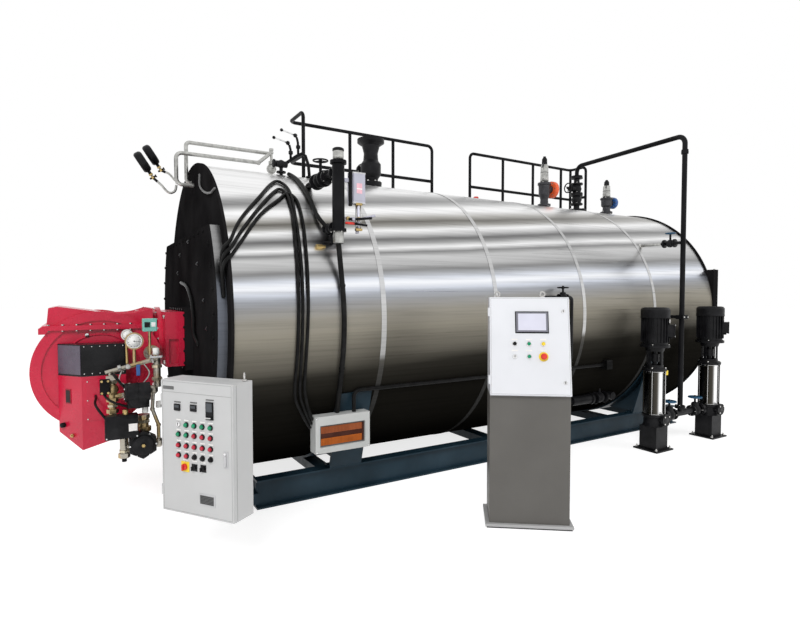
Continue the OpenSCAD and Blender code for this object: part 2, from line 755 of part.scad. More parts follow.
// Column before the drum with its two valved pipes; the upper one turns down into the drum
module water_column() {
    z1 = column_z + 438;
    z0 = column_z + 5;
    low = column_z;
    y1 = -column_y + 590;
    color([0.05, 0.05, 0.055]) {
        cyl_z([column_x, -column_y, low - 105], 34, 120);
        cyl_z([column_x, -column_y, low - 20], 42, z1 + 20 - low);
        cyl_z([column_x, -column_y, low - 24], 54, 20);
        cyl_z([column_x, -column_y, z1 - 6], 56, 22);
        cyl_z([column_x, -column_y, z1 + 15], 36, 82);
        off_jacket() {
            run([[column_x, -column_y, z1 - 60], [column_x, y1, z1 - 60], [column_x, y1, z1 - 153]], 24, 60);
            line_valve([column_x, -column_y + 310, z1 - 60], 56, 150);
            cyl_y([column_x, -column_y + 180, z1 - 60], 50, 20);
            cyl_y([column_x, -column_y + 40, z1 - 60], 50, 20);
            rod([column_x, -column_y, z0], [column_x, -column_y + 290, z0], 24);
            line_valve([column_x, -column_y + 120, z0], 44, -104);
        }
    }
}

// Level transmitter beside the column: housing, guard rail and glass on two cocks with their handles
module level_transmitter() {
    x0 = column_x + 42 + seat;
    y = -column_y;
    z = column_z;
    color([0.82, 0.83, 0.86]) {
        box([x0 + 58, y - 32, z + 177], [x0 + 146, y + 32, z + 381]);
        box([x0 + 34, y - 14, z + 165], [x0 + 58 + seat, y + 14, z + 381]);
        cyl_z([x0 + 100, y, z - 30], 13, 208);
        difference() {
            union() {
                box([x0 - 12, y - 12, z + 315], [x0 + 60, y + 12, z + 341]);
                box([x0 - 12, y - 12, z + 55], [x0 + 112, y + 12, z + 79]);
            }
            cyl_z([column_x, y, z - 35], 42 + seat, 500);
        }
        rod([x0 + 100, y, z + 65], [x0 + 210, y - 60, z + 95], 9);
        rod([x0 + 60, y - 8, z + 67], [x0 + 30, y - 90, z + 55], 9);
    }
}

// Two level pipe from the front plate over the drum to the gauge valve
module gauge_pipe() {
    z1 = top_z + 95;
    z2 = top_z + 210;
    xr = -half + 625;
    x1 = -half - 148;
    x2 = -half - 58;
    color([0.62, 0.62, 0.6]) {
        run([[-plate_face - seat, -60, top_z - 150], [x1, -60, top_z - 150], [x1, -60, z1],
             [xr - 130, -60, z1]], 15, 45);
        run([[-plate_face - seat, 40, top_z - 110], [x2, 40, top_z - 110], [x2, 40, z2],
             [xr, 40, z2]], 15, 30);
        rod([xr - 130, -60, z1], [xr, 0, z2], 15);
        rod([xr, 40, z2], [xr, 0, z2], 15);
        for (p = [[xr - 130, -60, z1], [xr, 40, z2], [xr, 0, z2]]) ball(p, 19);
        off_jacket() {
            rod([xr, 0, z2], [xr, 0, top_z - 40], 11);
            ball([xr, 0, top_z + 70], 42);
            cyl_z([xr, 0, top_z + 110], 24, 24);
            cyl_y([xr, -80, top_z + 70], 10, 80);
        }
    }
}

// Two tilted gauges on their siphons, which hang from the legs of the gauge pipe
module pressure_gauges() {
    color([0.04, 0.04, 0.045])
    for (g = [[385, -60, top_z - 14, 148, top_z - 110], [322, 40, top_z + 58, 58, top_z - 50]]) {
        c = [-half - g[0], g[1], g[2]];
        leg = -half - g[3] - 15 - seat;
        low = c + [leg - c.x - 50, 0, -200];
        translate(c) rotate([0, 48, 0]) {
            translate([0, 0, -28]) cylinder(r = 76, h = 50);
            translate([0, 0, 20]) cylinder(r = 66, h = 10);
        }
        rod(c + [46, 0, -51], c + [68, 0, -75], 13, $fn = 48);
        rod(c + [60, 0, -66], low, 8, $fn = 48);
        ball(low, 13);
        rod(low, [leg - 14, c.y, g[4]], 8, $fn = 48);
        ball([leg - 14, c.y, g[4]], 13);
        rod([leg - 14, c.y, g[4]], [leg, c.y, g[4]], 8, $fn = 48);
    }
}

// Cable routes: distance behind the front end of the jacket, angle from the top, height over the jacket
cable_routes = [
    [[-42, 77, -58.4], [-46, 72, -46], [-50, 68.5, 4], [-36, 66.6, 36], [10, 64, 32], [94, 56, 12.4],
     [273, 44, 12.4], [389, 35.5, 12.4], [460, 31.5, 12.4], [505, 33.5, 12.4], [516, 40, 12.4],
     [488, 52, 12.4], [468, 64, 12.4], [448, 82, 12.4], [438, 98, 12.4], [450, 112, 14], [490, 118, 50],
     [533, 121.8, 108]],
    [[-42, 79, -58.4], [-46, 74.2, -46], [-50, 70.7, 4], [-36, 68.8, 36], [10, 66.4, 32], [94, 60, 12.4],
     [250, 49.5, 12.4], [390, 40.5, 12.4], [450, 38, 12.4], [480, 41, 12.4], [470, 52, 12.4],
     [442, 64, 12.4], [418, 82, 12.4], [408, 98, 12.4], [418, 113, 14], [480, 120, 50], [533, 123.6, 108]],
    [[-42, 81, -58.4], [-46, 76.4, -46], [-50, 72.9, 4], [-36, 71, 36], [10, 68.8, 32], [94, 63, 12.4],
     [240, 53, 12.4], [400, 45, 12.4], [490, 40.5, 12.4], [540, 44, 12.4], [530, 55, 12.4],
     [508, 66, 12.4], [486, 82, 12.4], [472, 98, 12.4], [478, 110, 14], [500, 116, 50],
     [533, 120, 108]]];

function on_route(q) = [-half + q[0], -(jacket_r + q[2]) * sin(q[1]), axis_h + (jacket_r + q[2]) * cos(q[1])];
// Point between control points b and c of a smooth curve through a, b, c and d
function between(a, b, c, d, t) = 0.5 * (2 * b + (c - a) * t + (2 * a - 5 * b + 4 * c - d) * t * t
    + (3 * b - a - 3 * c + d) * t * t * t);
function route(q, n = 4) = let (k = len(q) - 1) [for (i = [0:k - 1], j = [0:n - 1])
    on_route(between(q[max(i - 1, 0)], q[i], q[i + 1], q[min(i + 2, k)], j / n))];

module cables() {
    color([0.03, 0.03, 0.03])
    for (c = cable_routes) {
        pts = concat(route(c), [on_route(c[len(c) - 1])]);
        for (i = [0:len(pts) - 2]) hull() {
            translate(pts[i]) sphere(r = 11, $fn = 10);
            translate(pts[i + 1]) sphere(r = 11, $fn = 10);
        }
    }
}

// Conduit from the top round to the column, the one below it to the terminal box, and the low level run
module conduits() {
    x = column_x + 25;
    rc = jacket_r + 22.6;
    top = [x, -rc * sin(78), axis_h + rc * cos(78)];
    p = [x, -rc * sin(105), axis_h + rc * cos(105)];
    drop = (p.z - term_z1 - seat + 18 * cos(105)) / sin(105);
    y = -jacket_r + 78;
    z = saddle_top + 20;
    x_end = half - 1750;
    color([0.04, 0.04, 0.045]) {
        drum_arc(x, rc, 18, 78, 105);
        rod(p, p + [0, -cos(105), -sin(105)] * drop, 18, $fn = 32);
        rod(top, [column_x, -column_y, column_z - 108], 18, $fn = 32);
        for (q = [top, p]) ball(q, 22);
        drum_arc(column_x - 62, jacket_r + 16.4, 16, 18, 51);
        run([[x + 120, y, term_z1 + seat], [x + 120, y, z], [x_end, y, z]], 14, 50);
        off_jacket() box([x_end - 1, y - 44, z - 43], [x_end + 80, y + 82, z + 47]);
    }
}

// Pump foot: plate, cast pedestal with a waist, port body and the flange that meets the manifold
module pump_bases() {
    color([0.03, 0.03, 0.035])
    for (i = [0, 1]) {
        x = i == 0 ? pump_x1 : pump_x2;
        s = i == 0 ? 1 : -1;
        box([x - 130, -pump_y - 125, 0], [x + 130, -pump_y + 125, 14]);
        box([x - 88, -pump_y - 88, 13], [x + 88, -pump_y + 88, pump_base_h - 20]);
        turned_at([x, -pump_y], [[0, pump_base_h - 21], [sleeve_r + 14, pump_base_h - 21],
            [sleeve_r + 4, pump_base_h + 6], [sleeve_r + 4, pump_head_h - 26], [sleeve_r + 20, pump_head_h - 20],
            [sleeve_r + 20, pump_head_h], [0, pump_head_h]]);
        rod([x, -pump_y, manifold_z], [x + s * 150, -pump_y, manifold_z], 38);
        cyl_x([s > 0 ? x + 144 : x - 164, -pump_y, manifold_z], 62, 20);
        rod([x, -pump_y, manifold_z], [x, -pump_y - 120, manifold_z], 38);
        cyl_y([x, -pump_y - 134, manifold_z], 58, 20);
    }
}

// Stainless sleeve between its two end rings, with the tie rods around it
module pump_sleeves() {
    z1 = 758 - seat;
    color([0.75, 0.75, 0.74])
    for (x = [pump_x1, pump_x2]) {
        turned_at([x, -pump_y], [[0, pump_head_h + seat], [sleeve_r + 3, pump_head_h + seat],
            [sleeve_r + 3, pump_head_h + 18], [sleeve_r, pump_head_h + 22], [sleeve_r, z1 - 22],
            [sleeve_r + 3, z1 - 18], [sleeve_r + 3, z1], [0, z1]]);
        for (a = [0:90:270]) translate([x, -pump_y, pump_head_h + seat]) rotate([0, 0, a + 20])
            translate([sleeve_r + 9, 0, 0]) cylinder(r = 7, h = z1 - pump_head_h - seat, $fn = 24);
    }
}

// Motor on its lantern: open coupling cage, ribbed frame, fan cowl and junction box
module pump_motors() {
    color([0.04, 0.04, 0.045])
    for (x = [pump_x1, pump_x2]) {
        cyl_z([x, -pump_y, 758], sleeve_r + 22, 26);
        difference() {
            turned_at([x, -pump_y], [[0, 783], [sleeve_r + 2, 783], [sleeve_r - 8, 800], [sleeve_r - 8, 940],
                [sleeve_r + 6, 985], [0, 985]]);
            cyl_z([x, -pump_y, 805], sleeve_r - 20, 150);
            for (a = [45, 135]) translate([x, -pump_y, 0]) rotate([0, 0, a])
                box([-200, -42, 815], [200, 42, 945]);
        }
        cyl_z([x, -pump_y, 785], 22, 200);
        cyl_z([x, -pump_y, 845], 40, 70);
        cyl_z([x, -pump_y, 984], motor_r + 4, 24);
        turned_at([x, -pump_y], [[0, 1007], [motor_r - 14, 1007], [motor_r - 14, pump_h - 95],
            [motor_r + 2, pump_h - 95], [motor_r + 2, pump_h - 18], [motor_r - 12, pump_h], [0, pump_h]]);
        for (a = [0:15:345]) translate([x, -pump_y, 1030]) rotate([0, 0, a])
            translate([motor_r - 20, -2.5, 0]) cube([18, 5, pump_h - 95 - 1030 + 1]);
        translate([x, -pump_y, 0]) rotate([0, 0, -60])
            box([motor_r - 30, -48, 1085], [motor_r + 34, 48, 1200]);
    }
}

// Manifold between the pumps: two wheel valves and the tee up to the feed riser
module pump_manifold() {
    xa = pump_x1 + 164 + seat;
    xb = pump_x2 - 164 - seat;
    color([0.06, 0.06, 0.065]) {
        cyl_x([xa, -pump_y, manifold_z], feed_r + 8, xb - xa);
        cyl_x([xa, -pump_y, manifold_z], 62, 18);
        cyl_x([xb - 18, -pump_y, manifold_z], 62, 18);
        for (x = [xa + 85, xb - 85]) {
            ball([x, -pump_y, manifold_z], 58);
            cyl_x([x - 70, -pump_y, manifold_z], 56, 16);
            cyl_x([x + 54, -pump_y, manifold_z], 56, 16);
            turned_at([x, -pump_y], [[0, manifold_z], [36, manifold_z], [36, manifold_z + 66],
                [24, manifold_z + 80], [10, manifold_z + 84], [10, manifold_z + 150], [0, manifold_z + 150]]);
            translate([x, -pump_y, manifold_z + 132]) handwheel(66, 7);
        }
        cyl_z([riser_x, -pump_y, manifold_z], feed_r, 60 - seat);
        cyl_z([riser_x, -pump_y, manifold_z + 46 - seat], feed_r + 24, 14);
    }
}

// Height inside the jacket at which a post that stands on it may start
function foot(y) = axis_h + sqrt(pow(jacket_r, 2) - y * y) - 60;

// Guard behind the steam valve: top and middle rail, the left end returning towards the drum axis
module handrail_front() {
    x0 = steam_x - 583;
    x1 = steam_x + 1115;
    y0 = 240;
    mid = rail_top - rail_drop;
    color([0.05, 0.05, 0.055])
    off_jacket() {
        run([[x1, rail_y, foot(rail_y)], [x1, rail_y, rail_top], [x0, rail_y, rail_top], [x0, y0, rail_top],
             [x0, y0, foot(y0)]], rail_r, 60);
        run([[x1, rail_y, mid], [x0, rail_y, mid], [x0, y0, mid]], rail_r, 60);
        for (x = [steam_x + 70, steam_x + 595])
            cyl_z([x, rail_y, foot(rail_y)], rail_r, rail_top - foot(rail_y), $fn = 48);
    }
}

module handrail_rear() {
    x0 = half - 2040;
    x1 = half - 290;
    color([0.05, 0.05, 0.055])
    off_jacket() {
        run([[x0, rail_y, foot(rail_y)], [x0, rail_y, rail_top], [x1, rail_y, rail_top], [x1, 340, rail_top],
             [x1, 340, foot(340)]], rail_r, 60);
        cyl_x([x0, rail_y, rail_top - rail_drop], rail_r, x1 - x0, $fn = 48);
        cyl_y([x1, 340, rail_top - rail_drop], rail_r, rail_y - 340, $fn = 48);
        for (x = [half - 1515, half - 997, half - 476, x1])
            cyl_z([x, rail_y, foot(rail_y)], rail_r, rail_top - foot(rail_y), $fn = 48);
    }
}

// Wheel valve on the small pipe beside the console
module side_valve() {
    x = -half + 2821;
    y = -jacket_r - 62;
    z = axis_h + 168;
    xr = x + 112;
    color([0.05, 0.05, 0.055])
    off_jacket() {
        run([[x - 131, y + 120, z], [x - 131, y, z], [xr, y, z], [xr, y, z - 558], [xr, y + 240, z - 558]], 15, 30);
        ball([x, y, z], 37);
        cyl_x([x - 52, y, z], 30, 14);
        cyl_x([x + 38, y, z], 30, 14);
        turned_at([x, y], [[0, z], [26, z], [26, z + 42], [9, z + 48], [9, z + 102], [0, z + 102]]);
        translate([x, y, z + 86]) handwheel(50, 6);
    }
}

// Blowdown line under the drum: lagged pipe, valve with its lever and the elbow into the drum
module blowdown_pipe() {
    z = axis_h - 865;
    y = -sqrt(pow(jacket_r, 2) - pow(axis_h - z, 2)) - 73;
    x = half - 1530;
    color([0.05, 0.05, 0.055])
    off_jacket() {
        run([[x - 430, y, z], [x + 250, y, z], [x + 250, y + 200, z]], 26, 50);
        cyl_x([x - 420, y, z], 46, 270);
        cyl_x([x - 151, y, z], 56, 26);
        ball([x, y, z], 53);
        cyl_x([x - 76, y, z], 56, 18);
        cyl_x([x + 58, y, z], 56, 18);
        cyl_z([x, y, z], 12, 95);
        translate([x, y, z + 88]) rotate([0, 8, 20]) translate([-20, -9, -5]) cube([190, 18, 10]);
        cyl_y([x + 180, y - 30, z], 40, 60);
    }
}

jacket();
seam_bands();
drum_shell();
front_plate();
rear_plate();
front_box();
front_door();
burner_block();
burner_fan_housing();
burner_air_box();
burner_control_box();
gas_train();
gas_actuators();
cabinet_body();
cabinet_door();
cabinet_bracket();
console_plinth();
console_column();
console_desk();
console_door();
touch_panel();
terminal_box();
skid_beams();
skid_cross_members();
saddles();
steam_outlet_valve();
safety_valves();
feed_check_valve();
feed_crossover();
feed_riser();
water_column();
level_transmitter();
gauge_pipe();
pressure_gauges();
cables();
conduits();
pump_bases();
pump_sleeves();
pump_motors();
pump_manifold();
handrail_front();
handrail_rear();
side_valve();
blowdown_pipe();
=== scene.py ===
from math import asin, atan2, cos, degrees, pi, radians, sin, sqrt, tau

import bmesh
import bpy
from mathutils import Matrix, Vector


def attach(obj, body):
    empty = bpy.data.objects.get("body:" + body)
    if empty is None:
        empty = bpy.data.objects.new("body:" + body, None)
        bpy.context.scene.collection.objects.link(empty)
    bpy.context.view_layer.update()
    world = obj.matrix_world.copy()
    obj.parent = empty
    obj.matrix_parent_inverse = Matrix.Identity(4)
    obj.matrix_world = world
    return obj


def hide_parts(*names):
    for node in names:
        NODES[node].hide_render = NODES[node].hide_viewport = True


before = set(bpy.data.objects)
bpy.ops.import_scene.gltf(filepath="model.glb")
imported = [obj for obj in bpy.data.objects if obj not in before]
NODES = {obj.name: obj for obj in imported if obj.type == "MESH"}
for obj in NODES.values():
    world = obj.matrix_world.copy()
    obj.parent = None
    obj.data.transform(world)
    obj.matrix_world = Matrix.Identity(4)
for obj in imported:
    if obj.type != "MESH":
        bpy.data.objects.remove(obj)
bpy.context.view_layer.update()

PACKAGE, CABINET, CONSOLE = "package", "cabinet_door", "console_door"

# Sizes that the pieces share with the solids, in mm
MM = 0.001
R, AXIS = 1200, 1290
TOP = AXIS + R
DOOR_X, FRAME_X, BLOCK_X = -2745, -2800, -2930
BURNER_Z, BLOCK_W, BLOCK_H = 1155, 680, 400
FAN_X, FAN_Z = -3342, 954
BOX_BACK, BOX_FRONT = -272.3, -442.3
CTRL_Z0, CTRL_Z1 = 950, 1143
GAS_Y = -580
STEAM_X, SAFETY, FEED_X = -1060, ((1240, 1.0), (2350, 0.75)), 1793
COLUMN_X, COLUMN_Y = -1940, -1190
RISER_X, SADDLE_X, REAR_HINGE_Y = 1680, 1770, -1184
PUMPS, PUMP_Y, MANIFOLD_Z = (1250, 2190), -1430, 300
MANIFOLD_VALVES = (1499.3, 1940.7)

# Frames of the cabinet door and of the console; the faces of both doors lie at FACE
DESK_A = atan2(140, 615)
CAB = Matrix.Translation((-3083, -1454, 333)) @ Matrix.Rotation(radians(-54.5), 4, "Z")
CON = Matrix.Translation((-1282, -1955, 0)) @ Matrix.Rotation(radians(-37), 4, "Z")
SLOPE = CON @ Matrix.Translation((28, 10, 847.3)) @ Matrix.Rotation(-DESK_A, 4, "X")
FACE = -18.3

# Directions; NEAR is the photographed side, and the front of a door in its own frame
UP, NEAR, FAR = Vector((0, 0, 1)), Vector((0, -1, 0)), Vector((0, 1, 0))
FRONT, REAR = Vector((-1, 0, 0)), Vector((1, 0, 0))
# The slanted left face of the burner's boxes, along it and out of it
SLANT_ALONG, SLANT_OUT = Vector((134, -170, 0)) / 216.5, Vector((-170, -134, 0)) / 216.5

# The jacket's painted reflection bands: end points of the scale in metres, depth of the waves, height of the
# painted highlight, rise of the bands below it, and the height and reach of the point that they fan out from
# above it
BAND_LOW, BAND_HIGH, WAVE = 0.1, 2.6, 0.06
PAINTED_HIGHLIGHT, RISE, FAN_HEIGHT, FAN_REACH = 1.65, 0.045, 1.2, 0.1

# Painted reflections of a light room on the polished drum, with painted shade low down: height in metres,
# screen grey and warmth
JACKET_PAINTED_REFLECTIONS = [(0.45, 28, 1), (0.85, 32, 1), (1.01, 48, 1), (1.07, 78, 1), (1.12, 94, 1), (1.21, 110, 1),
         (1.31, 132, 1), (1.41, 142, 0.8), (1.50, 146, 0), (1.55, 164, -0.5), (1.585, 215, -0.6),
         (1.63, 253, -0.2), (1.67, 228, -0.5), (1.705, 180, -0.3), (1.745, 140, 0), (1.79, 188, 0),
         (1.865, 206, 0), (1.905, 140, 0), (1.945, 246, 0), (1.985, 165, 0), (2.02, 112, 0), (2.06, 200, 0),
         (2.10, 250, 0), (2.14, 160, 0.3), (2.18, 110, 0.6), (2.22, 178, 0.3), (2.27, 248, 0), (2.31, 252, 0),
         (2.345, 195, 0), (2.385, 142, 0), (2.43, 165, 0), (2.50, 246, 0)]
# Painted reflections on the bare side of the front box: grey above, cool in the middle, painted shade below
# the drum's middle
BOX_PAINTED_REFLECTIONS = [(0.45, 34, -0.5), (1.05, 62, -0.8), (1.08, 84, -0.8), (1.10, 100, -0.8), (1.35, 104, -1.0),
             (1.60, 116, -1.0), (1.70, 104, -0.8), (1.78, 70, 0), (1.84, 96, 0), (1.88, 150, 0),
             (2.46, 160, 0)]
# Painted light on a pump sleeve, from its shaded to its lit side: painted shade with one painted highlight
# strip
SLEEVE_PAINTED_LIGHT = [(0.0, 70, 0), (0.10, 44, 1), (0.40, 62, 1), (0.46, 96, 0.5), (0.56, 236, 0), (0.70, 246, 0),
                (0.76, 120, 0), (0.84, 44, 0), (0.94, 40, 0), (1.0, 110, 0)]


def add_object(name, data):
    o = bpy.data.objects.new(name, data)
    bpy.context.scene.collection.objects.link(o)
    return o


def fill(nt, n, inputs):
    """Gives a node its inputs, plain values or sockets to link, and returns its outputs."""
    for key, value in inputs.items():
        if isinstance(value, bpy.types.NodeSocket):
            nt.links.new(value, n.inputs[key])
        else:
            n.inputs[key].default_value = value
    return n.outputs


def node(nt, kind, inputs, **properties):
    n = nt.nodes.new("ShaderNode" + kind)
    for key, value in properties.items():
        setattr(n, key, value)
    return fill(nt, n, inputs)


def maths(nt, operation, *values):
    return node(nt, "Math", dict(enumerate(values)), operation=operation)["Value"]


def ramp(nt, fac, stops):
    n = nt.nodes.new("ShaderNodeValToRGB")
    els = n.color_ramp.elements
    els[0].position, els[0].color = stops[0][0], (*stops[0][1], 1)
    els[1].position, els[1].color = stops[-1][0], (*stops[-1][1], 1)
    for p, c in stops[1:-1]:
        els.new(p).color = (*c, 1)
    return fill(nt, n, {"Fac": fac})["Color"]


def noise(nt, scale, detail, stretch=(1, 1, 1), rough=0.5):
    place = node(nt, "Mapping", {"Vector": node(nt, "TexCoord", {})["Object"], "Scale": stretch})["Vector"]
    inputs = {"Vector": place, "Scale": scale, "Detail": detail, "Roughness": rough}
    return node(nt, "TexNoise", inputs)["Fac"]


def spread_over(nt, value, low, high, start=0.0, end=1.0):
    """Maps what lies between start and end to low and high."""
    return node(nt, "MapRange", {"Value": value, "From Min": start, "From Max": end,
                                 "To Min": low, "To Max": high})["Result"]


def raised(nt, height, strength, distance):
    return node(nt, "Bump", {"Strength": strength, "Distance": distance, "Height": height})["Normal"]


def new_material(name):
    m = bpy.data.materials.new(name)
    m.use_nodes = True
    return m, m.node_tree, m.node_tree.nodes["Principled BSDF"]


def material(name, color, metal=0.0, rough=0.45, spread=0.12, scale=6.0, grain=160.0, bump=0.08,
             stretch=(1, 1, 1), coat=0.0, spec=0.5):
    """Paint, plastic or metal: colour and gloss vary in patches, and a fine grain stands out."""
    m, nt, b = new_material(name)
    lo = tuple(max(0.0, c * (1 - spread) - 0.002) for c in color)
    hi = tuple(min(1.0, c * (1 + spread) + 0.004) for c in color)
    tint = ramp(nt, noise(nt, scale, 4.0, stretch), [(0.3, lo), (0.5, color), (0.72, hi)])
    gloss = spread_over(nt, noise(nt, scale * 5, 5.0, stretch), max(0.02, rough - 0.08),
                        min(1.0, rough + 0.08), 0.3, 0.7)
    fill(nt, b, {"Base Color": tint, "Metallic": metal, "Roughness": gloss, "Specular IOR Level": spec,
                 "Normal": raised(nt, noise(nt, grain, 2.0, stretch), bump, 0.002)})
    if coat:
        fill(nt, b, {"Coat Weight": coat, "Coat Roughness": 0.08})
    return m


def grey(t, warm=0.0):
    """Linear colour of a screen grey from 0 to 255, warmer or (below zero) cooler."""
    c = (t / 255) ** 2.2
    return (c * (1 + 0.08 * warm), c, c * (1 - 0.18 * warm))


def gas_metal():
    """Pipework of mixed brass and plated steel, changing from fitting to fitting."""
    m = material("gas_pipework", (0.44, 0.33, 0.17), 0.9, 0.33, 0.22, 22, 140, 0.18)
    nt = m.node_tree
    b = nt.nodes["Principled BSDF"]
    brass = b.inputs["Base Color"].links[0].from_socket
    plated = ramp(nt, noise(nt, 7.0, 1.0, (1, 1, 0.6), 0.3), [(0.47, (0, 0, 0)), (0.53, (1, 1, 1))])
    mix = node(nt, "Mix", {"Factor": plated, "A": brass, "B": (0.42, 0.39, 0.33, 1)}, data_type="RGBA")
    fill(nt, b, {"Base Color": mix["Result"]})
    return m


def sleeve_material():
    """Polished pump sleeve in a light room; its colour is painted shade with a painted highlight strip, set by
    the way each side faces.
    """
    m = material("pump_sleeve", (0.5, 0.5, 0.5), 1.0, 0.24, 0.06, 5, 240, 0.04, (1, 1, 0.1))
    nt = m.node_tree
    normal = node(nt, "NewGeometry", {})["Normal"]
    lit = node(nt, "VectorMath", {0: normal, 1: (0.857, -0.515, 0)}, operation="DOT_PRODUCT")["Value"]
    painted_tone = ramp(nt, spread_over(nt, lit, 0.0, 1.0, -1), [(q, grey(t, w)) for q, t, w in SLEEVE_PAINTED_LIGHT])
    fill(nt, nt.nodes["Principled BSDF"], {"Base Color": painted_tone})
    return m


def jacket_material(name, wash=0.0, bands=JACKET_PAINTED_REFLECTIONS):
    """Rolled stainless sheet with painted reflection bands and painted shade low down; wash lifts and evens
    the lit bands, for the cover strips.
    """
    m, nt, b = new_material(name)
    place = node(nt, "SeparateXYZ", {"Vector": node(nt, "TexCoord", {})["Object"]})
    x, z = place["X"], place["Z"]
    # up to the painted highlight the painted reflection bands run nearly level, above it they fan out from a
    # point ahead
    level = maths(nt, "MULTIPLY_ADD", x, -RISE, z)
    fan = maths(nt, "DIVIDE", maths(nt, "SUBTRACT", z, FAN_HEIGHT),
                maths(nt, "MULTIPLY_ADD", x, FAN_REACH, 1.0))
    above = maths(nt, "GREATER_THAN", level, PAINTED_HIGHLIGHT)
    gap = maths(nt, "SUBTRACT", maths(nt, "ADD", fan, FAN_HEIGHT), level)
    height = maths(nt, "MULTIPLY_ADD", above, gap, level)
    waved = maths(nt, "MULTIPLY_ADD", noise(nt, 1.0, 5.0, (0.5, 2.2, 2.2), 0.6), WAVE, height)
    fac = spread_over(nt, waved, 0.0, 1.0, BAND_LOW, BAND_HIGH)

    def at(z):
        return (z + WAVE / 2 - BAND_LOW) / (BAND_HIGH - BAND_LOW)

    # the wash is slight over the painted shade below 1.1 m
    def washed(z, c):
        return c + wash * (1 if z > 1.1 else 0.08) * (0.62 - c)

    # base colour: painted reflections and painted shade, from the bands by height
    painted_tone = ramp(nt, fac, [(at(z), tuple(washed(z, c) for c in grey(t, w))) for z, t, w in bands])
    # the lower part, painted dark as shade, is matt, so that it stays dark seen aslant
    shine = [(at(1.00), 0), (at(1.08), 0.35), (at(1.50), 0.45), (at(1.60), 1)]
    fine = noise(nt, 5.0, 4.0, (0.12, 9, 9), 0.7)
    streak = ramp(nt, fine, [(0.35, (0.76, 0.76, 0.76)), (0.55, (1, 1, 1)), (0.8, (1, 1, 1))])
    mix = node(nt, "Mix", {"Factor": 0.7, "A": painted_tone, "B": streak}, data_type="RGBA", blend_type="MULTIPLY")
    fill(nt, b, {"Base Color": mix["Result"], "Metallic": ramp(nt, fac, [(q, (v, v, v)) for q, v in shine]),
                 "Roughness": spread_over(nt, fine, 0.22, 0.38), "Specular IOR Level": 0.0,
                 "Normal": raised(nt, noise(nt, 1.4, 2.0, (0.7, 2, 2)), 0.08, 0.004)})
    return m


